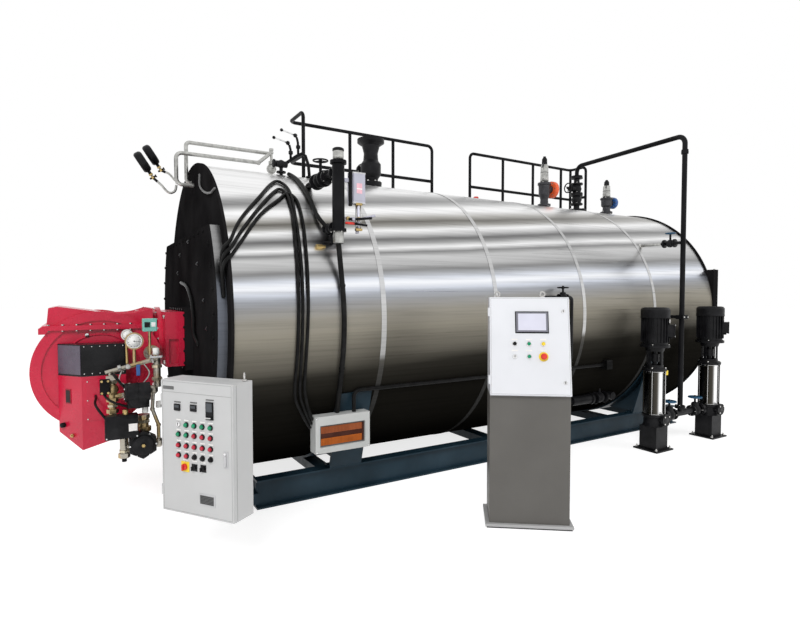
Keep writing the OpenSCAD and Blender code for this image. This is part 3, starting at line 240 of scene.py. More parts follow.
MAT = {
    # painted reflections and painted shade in the colour of the jacket and the seam strips
    "jacket": jacket_material("jacket_sheet"),
    "band": jacket_material("seam_band", 0.8),
    # painted shade and a painted highlight in the colour of the pump sleeves
    "sleeve": sleeve_material(),
    # painted reflections and painted shade in the colour of the front box side
    "front_side": jacket_material("front_box_sheet", 0.0, BOX_PAINTED_REFLECTIONS),
    "steel": material("stainless", (0.62, 0.61, 0.59), 1.0, 0.22, 0.12, 5, 240, 0.05, (1, 1, 0.1)),
    "galv": material("galvanised", (0.48, 0.48, 0.46), 0.9, 0.42, 0.25, 30, 180, 0.15),
    "drum": material("boiler_plate", (0.12, 0.12, 0.13), 0.3, 0.6, 0.2, 5, 90, 0.2),
    "black": material("black_paint", (0.008, 0.008, 0.009), 0.0, 0.36, 0.25, 4, 120, 0.12, spec=0.08),
    "black_hot": material("black_heat_paint", (0.012, 0.0115, 0.012), 0.0, 0.6, 0.2, 3, 80, 0.15, spec=0.0),
    "cast": material("black_casting", (0.007, 0.007, 0.008), 0.0, 0.38, 0.3, 12, 60, 0.4, spec=0.16),
    "red": material("burner_red", (0.52, 0.008, 0.040), 0.0, 0.30, 0.08, 3, 90, 0.06, coat=0.25, spec=0.35),
    "red_dark": material("burner_shadow_red", (0.28, 0.008, 0.018), 0.0, 0.4, 0.15, 4, 90, 0.12),
    "brass": material("yellow_brass", (0.52, 0.38, 0.16), 0.9, 0.33, 0.22, 22, 140, 0.18),
    "brass_pale": material("pale_brass", (0.62, 0.55, 0.40), 0.85, 0.34, 0.22, 25, 140, 0.15),
    "gas": gas_metal(),
    "act": material("moulded_black", (0.009, 0.009, 0.010), 0.0, 0.4, 0.3, 20, 200, 0.2, spec=0.15),
    "ctrl": material("control_box_black", (0.009, 0.009, 0.010), 0.0, 0.25, 0.3, 6, 160, 0.06, spec=0.15),
    "ctrl_side": material("control_box_side", (0.085, 0.07, 0.10), 0.0, 0.3, 0.2, 5, 160, 0.06),
    "cab": material("cabinet_grey", (0.50, 0.502, 0.502), 0.0, 0.42, 0.03, 3, 320, 0.10),
    "cab_edge": material("cabinet_joint", (0.28, 0.28, 0.28), 0.0, 0.5, 0.1, 6, 200, 0.1),
    "desk": material("desk_white", (0.68, 0.69, 0.72), 0.0, 0.38, 0.03, 3, 320, 0.08),
    "column": material("column_grey", (0.112, 0.107, 0.099), 0.0, 0.5, 0.05, 3, 320, 0.10, spec=0.3),
    "plinth": material("plinth_grey", (0.26, 0.26, 0.26), 0.0, 0.45, 0.08, 5, 300, 0.10),
    "foot": material("foot_plate", (0.40, 0.40, 0.40), 0.0, 0.45, 0.08, 5, 300, 0.08),
    "dark": material("dark_gap", (0.01, 0.01, 0.011), 0.0, 0.6, 0.3, 9, 100, 0.1),
    "term": material("terminal_grey", (0.50, 0.51, 0.50), 0.0, 0.42, 0.05, 4, 300, 0.08),
    "orange": material("amber_strip", (0.42, 0.10, 0.012), 0.0, 0.5, 0.25, 9, 200, 0.05, spec=0.2),
    "rust": material("terminal_red_brown", (0.27, 0.07, 0.022), 0.0, 0.5, 0.25, 9, 200, 0.05, spec=0.2),
    "brown": material("terminal_shade", (0.05, 0.012, 0.006), 0.0, 0.5, 0.3, 12, 200, 0.05, spec=0.2),
    "navy": material("skid_navy", (0.012, 0.029, 0.043), 0.0, 0.4, 0.25, 3, 70, 0.15, spec=0.2),
    "navy_edge": material("skid_edge", (0.055, 0.075, 0.09), 0.0, 0.4, 0.3, 6, 90, 0.2),
    "rubber": material("cable_rubber", (0.006, 0.006, 0.006), 0.0, 0.4, 0.3, 15, 200, 0.12, spec=0.12),
    "patch": material("bare_patch", (0.78, 0.76, 0.74), 0.0, 0.5, 0.06, 30, 200, 0.04),
    "pink": material("pink_patch", (0.72, 0.42, 0.48), 0.0, 0.5, 0.10, 30, 200, 0.04),
    "yellow": material("yellow_part", (0.80, 0.58, 0.03), 0.0, 0.42, 0.08, 12, 200, 0.06),
    "green": material("green_lens", (0.0, 0.22, 0.10), 0.0, 0.2, 0.2, 40, 200, 0.04),
    "redlens": material("red_lens", (0.42, 0.01, 0.03), 0.0, 0.2, 0.2, 40, 200, 0.04),
    "redcap": material("red_plastic", (0.60, 0.03, 0.02), 0.0, 0.4, 0.12, 20, 200, 0.08),
    "blue": material("blue_enamel", (0.012, 0.075, 0.15), 0.0, 0.32, 0.2, 10, 120, 0.15),
    "bluecap": material("blue_cap", (0.03, 0.10, 0.30), 0.0, 0.4, 0.12, 14, 160, 0.08),
    "orangecap": material("orange_cap", (0.76, 0.11, 0.03), 0.0, 0.4, 0.12, 14, 160, 0.08),
    "teal": material("teal_case", (0.16, 0.42, 0.36), 0.0, 0.38, 0.08, 14, 200, 0.08),
    "dial": material("dial_white", (0.80, 0.80, 0.78), 0.0, 0.35, 0.03, 20, 200, 0.02),
    "screen": material("screen_glass", (0.62, 0.62, 0.72), 0.0, 0.12, 0.05, 6, 200, 0.0),
    "valve": material("valve_casting", (0.045, 0.045, 0.05), 0.5, 0.45, 0.3, 18, 70, 0.35),
    "glass": material("dark_glass", (0.035, 0.042, 0.05), 0.0, 0.08, 0.2, 9, 200, 0.0),
    "bezel": material("bezel_grey", (0.16, 0.16, 0.19), 0.0, 0.35, 0.1, 9, 200, 0.05),
    "vent": material("vent_grey", (0.11, 0.11, 0.11), 0.0, 0.5, 0.15, 12, 200, 0.1),
    "handle_dark": material("worn_fitting", (0.022, 0.023, 0.026), 0.2, 0.4, 0.3, 14, 200, 0.12, spec=0.3),
    "handle": material("handle_grey", (0.48, 0.48, 0.49), 0.0, 0.4, 0.08, 12, 200, 0.08),
    "lilac": material("lilac_grey", (0.40, 0.40, 0.47), 0.0, 0.4, 0.06, 10, 200, 0.06),
    "chrome": material("bright_chrome", (0.75, 0.75, 0.75), 1.0, 0.12, 0.1, 20, 200, 0.03),
}

NODES_OF = {
    "jacket": "jacket",
    "band": "seam_bands",
    "drum": "drum_shell",
    "black_hot": "front_plate rear_plate front_door",
    "front_side": "front_box",
    "red": "burner_block burner_fan_housing burner_air_box",
    "ctrl": "burner_control_box touch_panel",
    "gas": "gas_train",
    "act": "gas_actuators",
    "cab": "cabinet_body cabinet_door",
    "navy": "cabinet_bracket skid_beams skid_cross_members saddles",
    "plinth": "console_plinth",
    "column": "console_column",
    "desk": "console_desk console_door",
    "term": "terminal_box",
    "cast": "steam_outlet_valve feed_check_valve pump_bases pump_motors pump_manifold side_valve "
            "blowdown_pipe",
    "valve": "safety_valves",
    "black": "feed_crossover feed_riser water_column pressure_gauges handrail_front handrail_rear",
    "lilac": "level_transmitter",
    "galv": "gauge_pipe",
    "rubber": "cables conduits",
    "sleeve": "pump_sleeves",
}
for mat_name, node_names in NODES_OF.items():
    for node_name in node_names.split():
        obj = NODES[node_name]
        if not obj.material_slots:
            obj.data.materials.append(MAT[mat_name])
        for slot in obj.material_slots:
            slot.material = MAT[mat_name]


class Piece:
    """Collects small forms, in mm, into one mesh that rides on one body."""

    def __init__(self, name, body=PACKAGE, xf=None):
        self.name, self.body, self.bm = name, body, bmesh.new()
        self.mats, self.xf = {}, xf or Matrix.Identity(4)

    def slot(self, m):
        return self.mats.setdefault(m, len(self.mats))

    def mesh(self, verts, faces, m, smooth=False):
        vs = [self.bm.verts.new((self.xf @ Vector(v)) * MM) for v in verts]
        k, out = self.slot(m), []
        for f in faces:
            try:
                g = self.bm.faces.new([vs[i] for i in f])
            except ValueError:
                continue
            g.material_index, g.smooth = k, smooth
            out.append(g)
        return out

    def box(self, a, b, m, bevel=0.0):
        (x0, y0, z0), (x1, y1, z1) = a, b
        v = [(x0, y0, z0), (x1, y0, z0), (x1, y1, z0), (x0, y1, z0),
             (x0, y0, z1), (x1, y0, z1), (x1, y1, z1), (x0, y1, z1)]
        f = [(0, 3, 2, 1), (4, 5, 6, 7), (0, 1, 5, 4), (1, 2, 6, 5), (2, 3, 7, 6), (3, 0, 4, 7)]
        faces = self.mesh(v, f, m)
        if bevel:
            edges = {e for g in faces for e in g.edges}
            r = bmesh.ops.bevel(self.bm, geom=list(edges), offset=bevel * MM, segments=2,
                                profile=0.5, affect="EDGES", clamp_overlap=True)
            for g in r["faces"]:
                g.material_index, g.smooth = self.slot(m), True

    def ring(self, c, u, v, r, n, start=0.0):
        """Points on a circle round c."""
        turns = [start + tau * i / n for i in range(n)]
        return [c + u * r * cos(a) + v * r * sin(a) for a in turns]

    def axes(self, d):
        """d as a unit vector and two directions across it."""
        d = Vector(d).normalized()
        h = UP if abs(d.z) < 0.9 else REAR
        u = d.cross(h).normalized()
        return d, u, d.cross(u)

    def lathe(self, p, d, prof, m, n=32, smooth=True):
        """prof is (radius, height) along d from p."""
        d, u, v = self.axes(d)
        verts, faces = [], []
        for r, h in prof:
            verts += self.ring(Vector(p) + d * h, u, v, max(r, 0.01), n)
        for j in range(len(prof) - 1):
            for i in range(n):
                a, b = j * n + i, j * n + (i + 1) % n
                faces.append((a, b, b + n, a + n))
        faces += [tuple(reversed(range(n))), tuple(range((len(prof) - 1) * n, len(prof) * n))]
        self.mesh(verts, faces, m, smooth)

    def rod(self, c, d, h, r, m, n=24, chamfer=0.0):
        """Cylinder of length h along d from c."""
        k = min(chamfer, r * 0.4, h * 0.3)
        self.lathe(c, d, [(r - k, 0), (r, k), (r, h - k), (r - k, h)] if k else [(r, 0), (r, h)], m, n)

    def nut(self, c, d, h, r, m):
        self.lathe(c, d, [(r * 0.9, 0), (r, h * 0.12), (r, h * 0.88), (r * 0.9, h)], m, 6, False)

    def sphere(self, c, r, m):
        turns = [pi * i / 10 for i in range(11)]
        self.lathe(Vector(c) - UP * r, UP, [(r * sin(a), r - r * cos(a)) for a in turns], m, 20)

    def tube(self, pts, r, m, n=12, closed=False):
        """Round bar along a line of points, with flat ends unless closed."""
        pts = [Vector(p) for p in pts]
        k, tang = len(pts), []
        for i in range(k):
            a = pts[(i - 1) % k] if (closed or i > 0) else pts[i]
            b = pts[(i + 1) % k] if (closed or i < k - 1) else pts[i]
            tang.append((b - a).normalized())
        u = self.axes(tang[0])[1]
        verts, faces = [], []
        for p, t in zip(pts, tang):
            u = (u - t * u.dot(t)).normalized()
            verts += self.ring(p, u, t.cross(u), r, n)
        for j in range(k if closed else k - 1):
            j2 = (j + 1) % k
            for i in range(n):
                faces.append((j * n + i, j * n + (i + 1) % n, j2 * n + (i + 1) % n, j2 * n + i))
        if not closed:
            faces += [tuple(reversed(range(n))), tuple(range((k - 1) * n, k * n))]
        self.mesh(verts, faces, m, True)

    def bent(self, pts, r, m, n=12, step=6):
        """Tube along a smooth curve through the points."""
        p = [Vector(q) for q in pts]
        p = [p[0] * 2 - p[1]] + p + [p[-1] * 2 - p[-2]]
        out = []
        for i in range(1, len(p) - 2):
            for k in range(step):
                t = k / step
                out.append(0.5 * (2 * p[i] + (p[i + 1] - p[i - 1]) * t
                                  + (2 * p[i - 1] - 5 * p[i] + 4 * p[i + 1] - p[i + 2]) * t * t
                                  + (3 * p[i] - p[i - 1] - 3 * p[i + 1] + p[i + 2]) * t ** 3))
        self.tube(out + [p[-2]], r, m, n)

    def torus(self, c, d, rr, r, m, n=36, k=10):
        d, u, v = self.axes(d)
        self.tube(self.ring(Vector(c), u, v, rr, n), r, m, k, True)

    def bolts(self, c, d, rr, count, r, h, m, start=0.0, stud=0.0):
        """Hexagon heads on a circle; c is on the seat, d points outwards."""
        d, u, v = self.axes(d)
        for p in self.ring(Vector(c), u, v, rr, count, start):
            self.nut(p, d, h, r, m)
            if stud:
                self.rod(p + d * h, d, stud, r * 0.5, m, 8)

    def wheel(self, c, d, rr, r, m, spokes, hub, n=32):
        """Handwheel with spokes and a hub."""
        self.torus(c, d, rr, r, m, n, 8)
        d, u, v = self.axes(d)
        c = Vector(c)
        for p in self.ring(c, u, v, rr, spokes):
            self.tube([c - d * r * 0.8, c.lerp(p, 0.5) - d * r * 0.4, p], r * 0.62, m, 8)
        self.rod(c - d * r * 1.6, d, r * 2.8, hub, m, 16, 2)

    def done(self, *replaced):
        me = bpy.data.meshes.new(self.name)
        bmesh.ops.recalc_face_normals(self.bm, faces=self.bm.faces)
        self.bm.to_mesh(me)
        self.bm.free()
        for m in self.mats:
            me.materials.append(MAT[m])
        o = add_object(self.name, me)
        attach(o, self.body)
        if replaced:
            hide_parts(*replaced)


def skin(theta, x, lift=0.0):
    """Point on the jacket: theta in degrees from the top towards the near side."""
    a, r = radians(theta), R + lift
    return Vector((x, -r * sin(a), AXIS + r * cos(a)))


def outward(c):
    """Direction away from the axis of the drum at a point of the jacket."""
    return Vector((0, c.y, c.z - AXIS)).normalized()


def seen(nt):
    """1 on rays from the camera, off shiny surfaces and through glass, 0 on the rest."""
    ray = node(nt, "LightPath", {})
    return maths(nt, "MAXIMUM", maths(nt, "MAXIMUM", ray["Is Camera Ray"], ray["Is Glossy Ray"]),
                 ray["Is Transmission Ray"])


def floor():
    """Wide pale floor: half of what is seen is a plain glow, so that a soft shadow stays."""
    s, z = 60, -0.001
    me = bpy.data.meshes.new("floor")
    me.from_pydata([(-s, -s, z), (s, -s, z), (s, s, z), (-s, s, z)], [], [(0, 1, 2, 3)])
    m, nt, b = new_material("floor")
    fill(nt, b, {"Base Color": (0.9, 0.9, 0.9, 1), "Roughness": 0.9, "Specular IOR Level": 0.0})
    glow = node(nt, "Emission", {"Color": (1, 1, 1, 1), "Strength": 1.55})[0]
    mix = node(nt, "MixShader", {"Fac": maths(nt, "MULTIPLY", seen(nt), 0.5), 1: b.outputs[0], 2: glow})
    fill(nt, nt.nodes["Material Output"], {"Surface": mix[0]})
    me.materials.append(m)
    o = add_object("floor", me)


def white_world():
    """Plain light from all round, and white where the background is seen."""
    world = bpy.data.worlds.new("world")
    bpy.context.scene.world = world
    world.use_nodes = True
    nt = world.node_tree
    light = fill(nt, nt.nodes["Background"], {"Color": (1, 1, 1, 1), "Strength": 0.55})[0]
    white = node(nt, "Background", {"Color": (1, 1, 1, 1), "Strength": 1.0})[0]
    mix = node(nt, "MixShader", {"Fac": seen(nt), 1: light, 2: white})
    fill(nt, nt.nodes["World Output"], {"Surface": mix[0]})


def area(name, loc, target, size, power):
    d = bpy.data.lights.new(name, "AREA")
    d.shape = "RECTANGLE"
    d.size, d.size_y = size
    d.energy = power
    o = add_object(name, d)
    o.location = loc
    o.rotation_euler = (Vector(target) - Vector(loc)).to_track_quat("-Z", "Y").to_euler()
    o.visible_glossy = False


def camera(loc, down, turn, lens):
    data = bpy.data.cameras.new("camera")
    data.sensor_width, data.lens, data.clip_end = 36, lens, 200
    cam = add_object("camera", data)
    cam.location = loc
    cam.rotation_euler = (radians(90 - down), 0, radians(turn))
    bpy.context.scene.camera = cam


def front_bolts():
    p = Piece("front_door_bolts")
    for k in range(-122, 123, 8):
        a = radians(180 + k)
        y, z = 1098 * sin(a), AXIS + 1098 * cos(a)
        if z < 1900:
            p.nut((DOOR_X, y, z), FRONT, 11, 12, "black_hot")
    for y in range(-800, 801, 160):
        p.nut((DOOR_X, y, 1905), FRONT, 11, 12, "black_hot")
    for s in (-1, 1):
        for k in range(-2, 3):
            p.nut((FRAME_X, s * (BLOCK_W / 2 + 15), BURNER_Z + k * 88), FRONT, 10, 10, "cast")
        for k in range(-3, 4):
            p.nut((FRAME_X, k * 96, BURNER_Z + s * (BLOCK_H / 2 + 15)), FRONT, 10, 10, "cast")
    # lifting loop, hose of the flame viewer and small studs
    p.bent([(-2674, -322, 2380), (-2680, -355, 2290), (-2682, -521, 2216), (-2682, -728, 2176),
            (-2674, -826, 2191)], 8, "vent")
    p.bent([(-2748, 103, 1580), (-2764, -257, 1540), (-2764, -443, 1434), (-2764, -495, 1322),
            (-2764, -511, 1211), (-2750, -599, 1128)], 13, "rubber", 14)
    for y, z in ((-245, 1880), (130, 1805), (-598, 1698), (-799, 1442), (-888, 1258), (256, 1662)):
        p.rod((DOOR_X, y, z), FRONT, 6, 15, "cast", 20, 1)
        p.rod((DOOR_X - 5, y, z), FRONT, 8, 8, "handle_dark", 12, 1)
    p.done()


def hood_height(x):
    """Height of the hood over the fan axis, as in the solid."""
    return 386 + (55 if x < 150 else 240) * ((x - 150) / 450) ** 2


def burner_trim():
    p = Piece("burner_trim")
    p.bolts((-2960, 0, BURNER_Z), FRONT, 219, 18, 9, 9, "steel", stud=5)
    for s in (-1, 1):
        for t in (-1, 1):
            p.nut((BLOCK_X, s * 305, BURNER_Z + t * 165), FRONT, 12, 14, "steel")
    # ribs along both edges and the middle of the hood
    for y in (-225, -75, 75, 225):
        pts = [(FAN_X + x, y, FAN_Z + hood_height(x) + 1) for x in range(-170, 331, 25)]
        p.tube(pts, 6.5, "red", 10)
    # screws through the split flange
    for s in (-1, 1):
        for k in range(8):
            x, y, z = FAN_X - 300 + k * 82, s * 282, FAN_Z + 318
            p.nut((x, y, z), UP, 9, 9, "steel")
            p.nut((x, y, z - 32), -UP, 8, 9, "steel")
    # slot of the air inlet with its blades; the dark back of the slot and the darker red of the blades are
    # painted shade
    p.box((FAN_X - 276, -200, FAN_Z + 347), (FAN_X - 272, 200, FAN_Z + 413), "dark")
    for k in range(7):
        z = FAN_Z + 352 + k * 9.5
        p.box((FAN_X - 300, -200, z), (FAN_X - 278, 200, z + 2), "red_dark")
    # screw with its slot on the near side
    p.rod((FAN_X - 78, -258, 1202), NEAR, 14, 14, "chrome", 24, 2)
    p.box((FAN_X - 90, -272.8, 1200), (FAN_X - 66, -271, 1204), "dark")
    # raised ring of the side plate round the fan
    for s in (-1, 1):
        p.torus((FAN_X, s * 259, FAN_Z), FAR, 250, 6, "red", 60, 8)
    p.done()


def slant(s, z, out=0.0):
    """Point on the slanted left face of the burner boxes, s mm from its back edge."""
    return Vector((FAN_X - 251, BOX_BACK, z)) + SLANT_ALONG * s + SLANT_OUT * out


def slant_plate(p, s0, s1, z0, z1, thick, m):
    corners = [(s0, z0), (s1, z0), (s1, z1), (s0, z1)]
    verts = [slant(s, z, out) for out in (0, thick) for s, z in corners]
    p.mesh(verts, [(0, 1, 2, 3), (4, 7, 6, 5), (0, 4, 5, 1), (1, 5, 6, 2), (2, 6, 7, 3), (3, 7, 4, 0)], m)


def burner_boxes():
    p = Piece("burner_box_covers")
    slant_plate(p, 5, 211, CTRL_Z0, CTRL_Z1, 3, "ctrl_side")
    p.box((FAN_X - 112, BOX_FRONT - 3, CTRL_Z0), (FAN_X + 141, BOX_FRONT, CTRL_Z1), "ctrl", 1.5)
    for k in range(6):
        x = FAN_X - 100 + 46 * k
        p.rod((x, BOX_FRONT - 2, CTRL_Z0 + 6), NEAR, 4, 4, "chrome", 12, 1)
        p.rod((x, BOX_FRONT - 2, CTRL_Z1 - 7), NEAR, 3, 3.5, "chrome", 12, 1)
    # dark joint between the lower casing and the box on it
    p.box((FAN_X - 116, BOX_FRONT - 1, 938), (FAN_X + 146, BOX_FRONT + 3, 943), "dark")
    slant_plate(p, 0, 216, 938, 943, 1.2, "dark")
    # cover plate with its screws, window, knob and plug on the lower casing
    p.box((FAN_X - 96, BOX_FRONT - 4, 640), (FAN_X + 70, BOX_FRONT, 915), "red", 2)
    for x in (-84, 58):
        for z in (652, 777, 903):
            p.rod((FAN_X + x, BOX_FRONT - 3, z), NEAR, 4, 5, "steel", 12, 1)
    slant_plate(p, 70, 118, 752, 850, 4, "red_dark")
    slant_plate(p, 76, 112, 760, 842, 6, "dark")
    p.rod(slant(52, 605), SLANT_OUT, 26, 17, "black", 24, 3)
    p.nut(slant(132, 540), SLANT_OUT, 14, 13, "brass")
    p.rod(slant(132, 540, 14), SLANT_OUT, 8, 6, "brass", 12)
    p.done()


def dial(p, c, d, r):
    """Plain dial with ticks and a pointer; c is the middle of the glass, d points to the reader."""
    d, u, v = p.axes(d)
    c = Vector(c)
    p.rod(c - d * 3, d, 3, r, "dial", 40)
    p.torus(c - d, d, r + 3, 4, "chrome", 40, 8)
    for k in range(11):
        a = radians(-135 + 27 * k)
        w = u * sin(a) + v * cos(a)
        p.tube([c + w * r * 0.76 + d * 0.5, c + w * r * 0.93 + d * 0.5], r * 0.025, "dark", 6)
    w = u * sin(-1.4) + v * cos(-1.4)
    p.tube([c - w * r * 0.2 + d * 1.4, c + w * r * 0.7 + d * 1.4], r * 0.03, "dark", 6)
    p.rod(c, d, 3, r * 0.09, "dark", 12)


def gas_trim():
    p = Piece("gas_train_fittings")
    # flange plate with four yellow bolts
    p.box((-3360, -632, 836), (-3302, -604, 936), "black", 3)
    for x in (-3349, -3313):
        for z in (848, 924):
            p.nut((x, -632, z), NEAR, 10, 8, "brass")
    dial(p, (-3154, -603, 1173), NEAR, 42)
    p.lathe((-3192, -530, 1212), NEAR, [(34, 0), (38, 3), (38, 24), (34, 27)], "galv", 36)
    dial(p, (-3192, -560, 1212), NEAR, 30)
    p.tube([(-3196, -540, 1172), (-3196, -548, 1060), (-3196, -580, 1004)], 8, "brass", 12)
    # pressure switch with its coloured case
    p.box((FAN_X + 239, -606, 1234), (FAN_X + 328, -550, 1321), "teal", 5)
    p.box((FAN_X + 250, -608, 1262), (FAN_X + 284, -604, 1298), "ctrl", 1)
    p.box((FAN_X + 292, -608, 1266), (FAN_X + 318, -604, 1296), "dial", 1)
    # drum of the upper actuator, cables to the housing and small lines
    x, z = FAN_X + 196, 806
    p.lathe((x, -718, z), NEAR, [(60, 0), (60, 16), (54, 22), (0.1, 24)], "act", 44)
    p.torus((x, -738, z), FAR, 44, 3, "ctrl", 36, 6)
    for a, b, c in (((-3220, -700, 880), (-3268, -690, 946), (-3290, -540, 930)),
                    ((-3205, -712, 760), (-3290, -722, 800), (-3345, -560, 860)),
                    ((-3330, -700, 690), (-3375, -690, 760), (-3380, -520, 800))):
        middle = ((b[0] + c[0]) / 2 - 10, (b[1] + c[1]) / 2, b[2] + 24)
        p.bent([a, b, middle, c, (c[0], -440, c[2] + 6)], 8, "rubber", 12, 8)
    for path in ([(-3100, -600, 1020), (-3070, -640, 960), (-3110, -660, 900), (-3140, -690, 905)],
                 [(-3230, -600, 985), (-3250, -650, 930), (-3225, -690, 905), (-3190, -705, 908)]):
        p.bent(path, 5, "galv", 10, 8)
    p.rod((-3196, -600, 1010), NEAR, 46, 16, "galv", 20, 2)
    p.nut((-3255, -604, 1000), Vector((5, 0, 1)), 20.4, 20, "galv")
    p.nut((-3060, -604, 1048), Vector((4, 0, 1)), 16.5, 32, "galv")
    p.box((-3064, -650, 1058), (-2990, -630, 1072), "handle", 3)
    # levers and caps
    p.rod((-3138, GAS_Y, 985), NEAR, 70, 9, "brass", 16, 1)
    p.box((-3150, -662, 948), (-3126, -648, 1022), "bluecap", 4)
    for c, h, r in (((-3103, -672, 704), 46, 20), ((-3024, -600, 1076), 46, 21), ((-3012, -604, 716), 44, 19)):
        p.rod(c, UP, h, r, "dial", 24, 3)
    p.rod((-3220, -690, 706), UP, 34, 16, "brass", 20, 2)
    # bare plates on the actuators, their screws and lids
    p.box((-3142, -722.5, 800), (-3088, -720, 843), "patch", 0.8)
    p.box((-3205, -732, 604), (-3155, -730, 652), "patch", 0.8)
    for x in (-3330, -3157):
        for z in (570, 692):
            y = -731 if z < 600 else -712
            p.rod((x, y + 4, z), NEAR, 7, 5, "chrome", 12, 1)
    for x in (192, 130):
        p.torus((FAN_X + x, -700, 850), REAR, 61, 3, "act", 40, 6)
    p.bolts((FAN_X + 118, -700, 850), FRONT, 44, 4, 5, 5, "chrome", 0.7)
    # filter lid
    x, z = FAN_X + 221, 499
    p.lathe((x, -710, z), NEAR, [(66, 0), (66, 8), (58, 13), (0.1, 13)], "act", 36)
    p.bolts((x, -710, z), NEAR, 78, 6, 6, 7, "chrome")
    p.nut((x, -722, z), NEAR, 12, 12, "brass")
    # union nuts in paler brass on the pipes
    for x, z, h, r in ((325, 900, 22, 36), (325, 985, 22, 36), (234, 505, 22, 44), (234, 620, 22, 44),
                       (118, 436, 18, 33), (55, 745, 18, 33), (55, 900, 18, 33)):
        p.nut((FAN_X + x, GAS_Y, z), UP, h, r, "brass_pale")
    p.bolts((FAN_X + 325, -288, 1060), NEAR, 42, 4, 7, 8, "steel")
    p.rod((FAN_X + 118, GAS_Y, 400), -UP, 28, 15, "black", 20, 2)
    p.done()


def button(p, x, z, m, r=11, y=FACE, bezel="ctrl"):
    p.lathe((x, y, z), NEAR, [(r + 4, 0), (r + 4, 3), (r + 1, 6)], bezel, 28)
    p.lathe((x, y - 5, z), NEAR, [(r, 0), (r, 7), (r * 0.8, 10), (r * 0.4, 11.5), (0.1, 12)], m, 28)


def rotary(p, x, z, plate, knob, size):
    panel(p, x - size, x + size, z - size, z + size, 2.5, plate, 1)
    p.rod((x, FACE - 2, z), NEAR, 12, size * 0.62, knob, 28, 2)
    panel(p, x - size * 0.16, x + size * 0.16, z - size * 0.6, z + size * 0.6, 14, knob, 2, FACE - 12)


def panel(p, x0, x1, z0, z1, h, m, bevel=0.0, y=FACE):
    """Flat piece on the face of a door, h thick."""
    p.box((x0, y - h, z0), (x1, y, z1), m, bevel)


def label(p, x, z0, z1, half=15):
    panel(p, x - half, x + half, z0, z1, 1.2, "patch", 0.5)


def outline(p, x0, x1, z0, z1, w=1.6):
    """Joint round a door: four strips w wide."""
    for strip in ((x0, x1, z0, z0 + w), (x0, x1, z1 - w, z1),
                  (x0, x0 + w, z0, z1), (x1 - w, x1, z0, z1)):
        panel(p, *strip, 0.7, "cab_edge")


def cabinet_controls():
    p = Piece("cabinet_controls", CABINET, CAB)
    outline(p, 9, 471, 9, 693)
    panel(p, 9, 471, 636, 638, 0.7, "cab_edge")
    panel(p, 14, 90, 650, 668, 1, "vent", 0.5)
    for x0, x1, z0, z1 in ((93, 135, 542, 578), (203, 246, 546, 582), (308, 357, 512, 604)):
        panel(p, x0, x1, z0, z1, 7, "ctrl", 2.5)
        panel(p, x0 + 6, x1 - 6, z1 - (z1 - z0) * 0.55, z1 - 6, 2, "glass", 0.6, FACE - 6)
        panel(p, x0 - 2, x1 + 2, z1 + 6, z1 + 13, 1, "vent", 0.5)
    for k in range(4):
        button(p, 318 + 9.5 * k, 524, "dial", 2.6, FACE - 7)
    # four rows of lamps and buttons; the first place has a key switch
    g, r, c = "green", "redlens", "ctrl"
    rows = ("key", g, g, g, g), (g, g, r, r, r), (r, r, r, r, r), (r, r, c, c, c)
    for z, row in zip((472, 419, 362, 309), rows):
        for k, m in enumerate(row):
            x = 120 + 54 * k
            if m == "key":
                p.rod((x, FACE, z), NEAR, 8, 13, "chrome", 28, 2)
                panel(p, x - 1.5, x + 1.5, z - 8, z + 8, 2, "dark", 0, FACE - 7)
            else:
                button(p, x, z, m)
            label(p, x, z + 19, z + 26)
    rotary(p, 163, 252, "yellow", "redcap", 27)
    rotary(p, 226, 254, "ctrl", "ctrl", 19)
    rotary(p, 285, 256, "ctrl", "ctrl", 19)
    for x in (163, 226, 285):
        label(p, x, 284, 290)
    # swing handle
    panel(p, 418, 448, 276, 360, 4, "handle", 3)
    panel(p, 425, 441, 284, 342, 9, "handle", 4, FACE - 4)
    p.rod((433, FACE - 3, 350), NEAR, 9, 7, "chrome", 20, 1)
    # ventilation plate
    panel(p, 254, 362, 64, 126, 3, "handle", 1.5)
    panel(p, 262, 354, 72, 118, 0.8, "vent", 0.3, FACE - 2.8)
    for k in range(6):
        z = 75 + k * 7.2
        panel(p, 266, 350, z, z + 3, 1, "dark", 0, FACE - 3.4)
    p.done()

    p = Piece("cabinet_lifting_eye", PACKAGE, CAB)
    p.rod((462, 92, 702), UP, 10, 13, "steel", 24, 2)
    p.torus((462, 92, 728), (0.82, 0.57, 0), 16, 5, "steel", 30, 10)
    # seam of the side wall and the gland plate below
    p.box((480, 6, 8), (480.8, 9, 694), "cab_edge")
    for k in range(4):
        x = 90 + k * 90
        p.nut((x, 66, -14), UP, 14, 17, "black")
        p.rod((x, 66, -30), UP, 16, 12, "black", 20, 2)
    p.done()


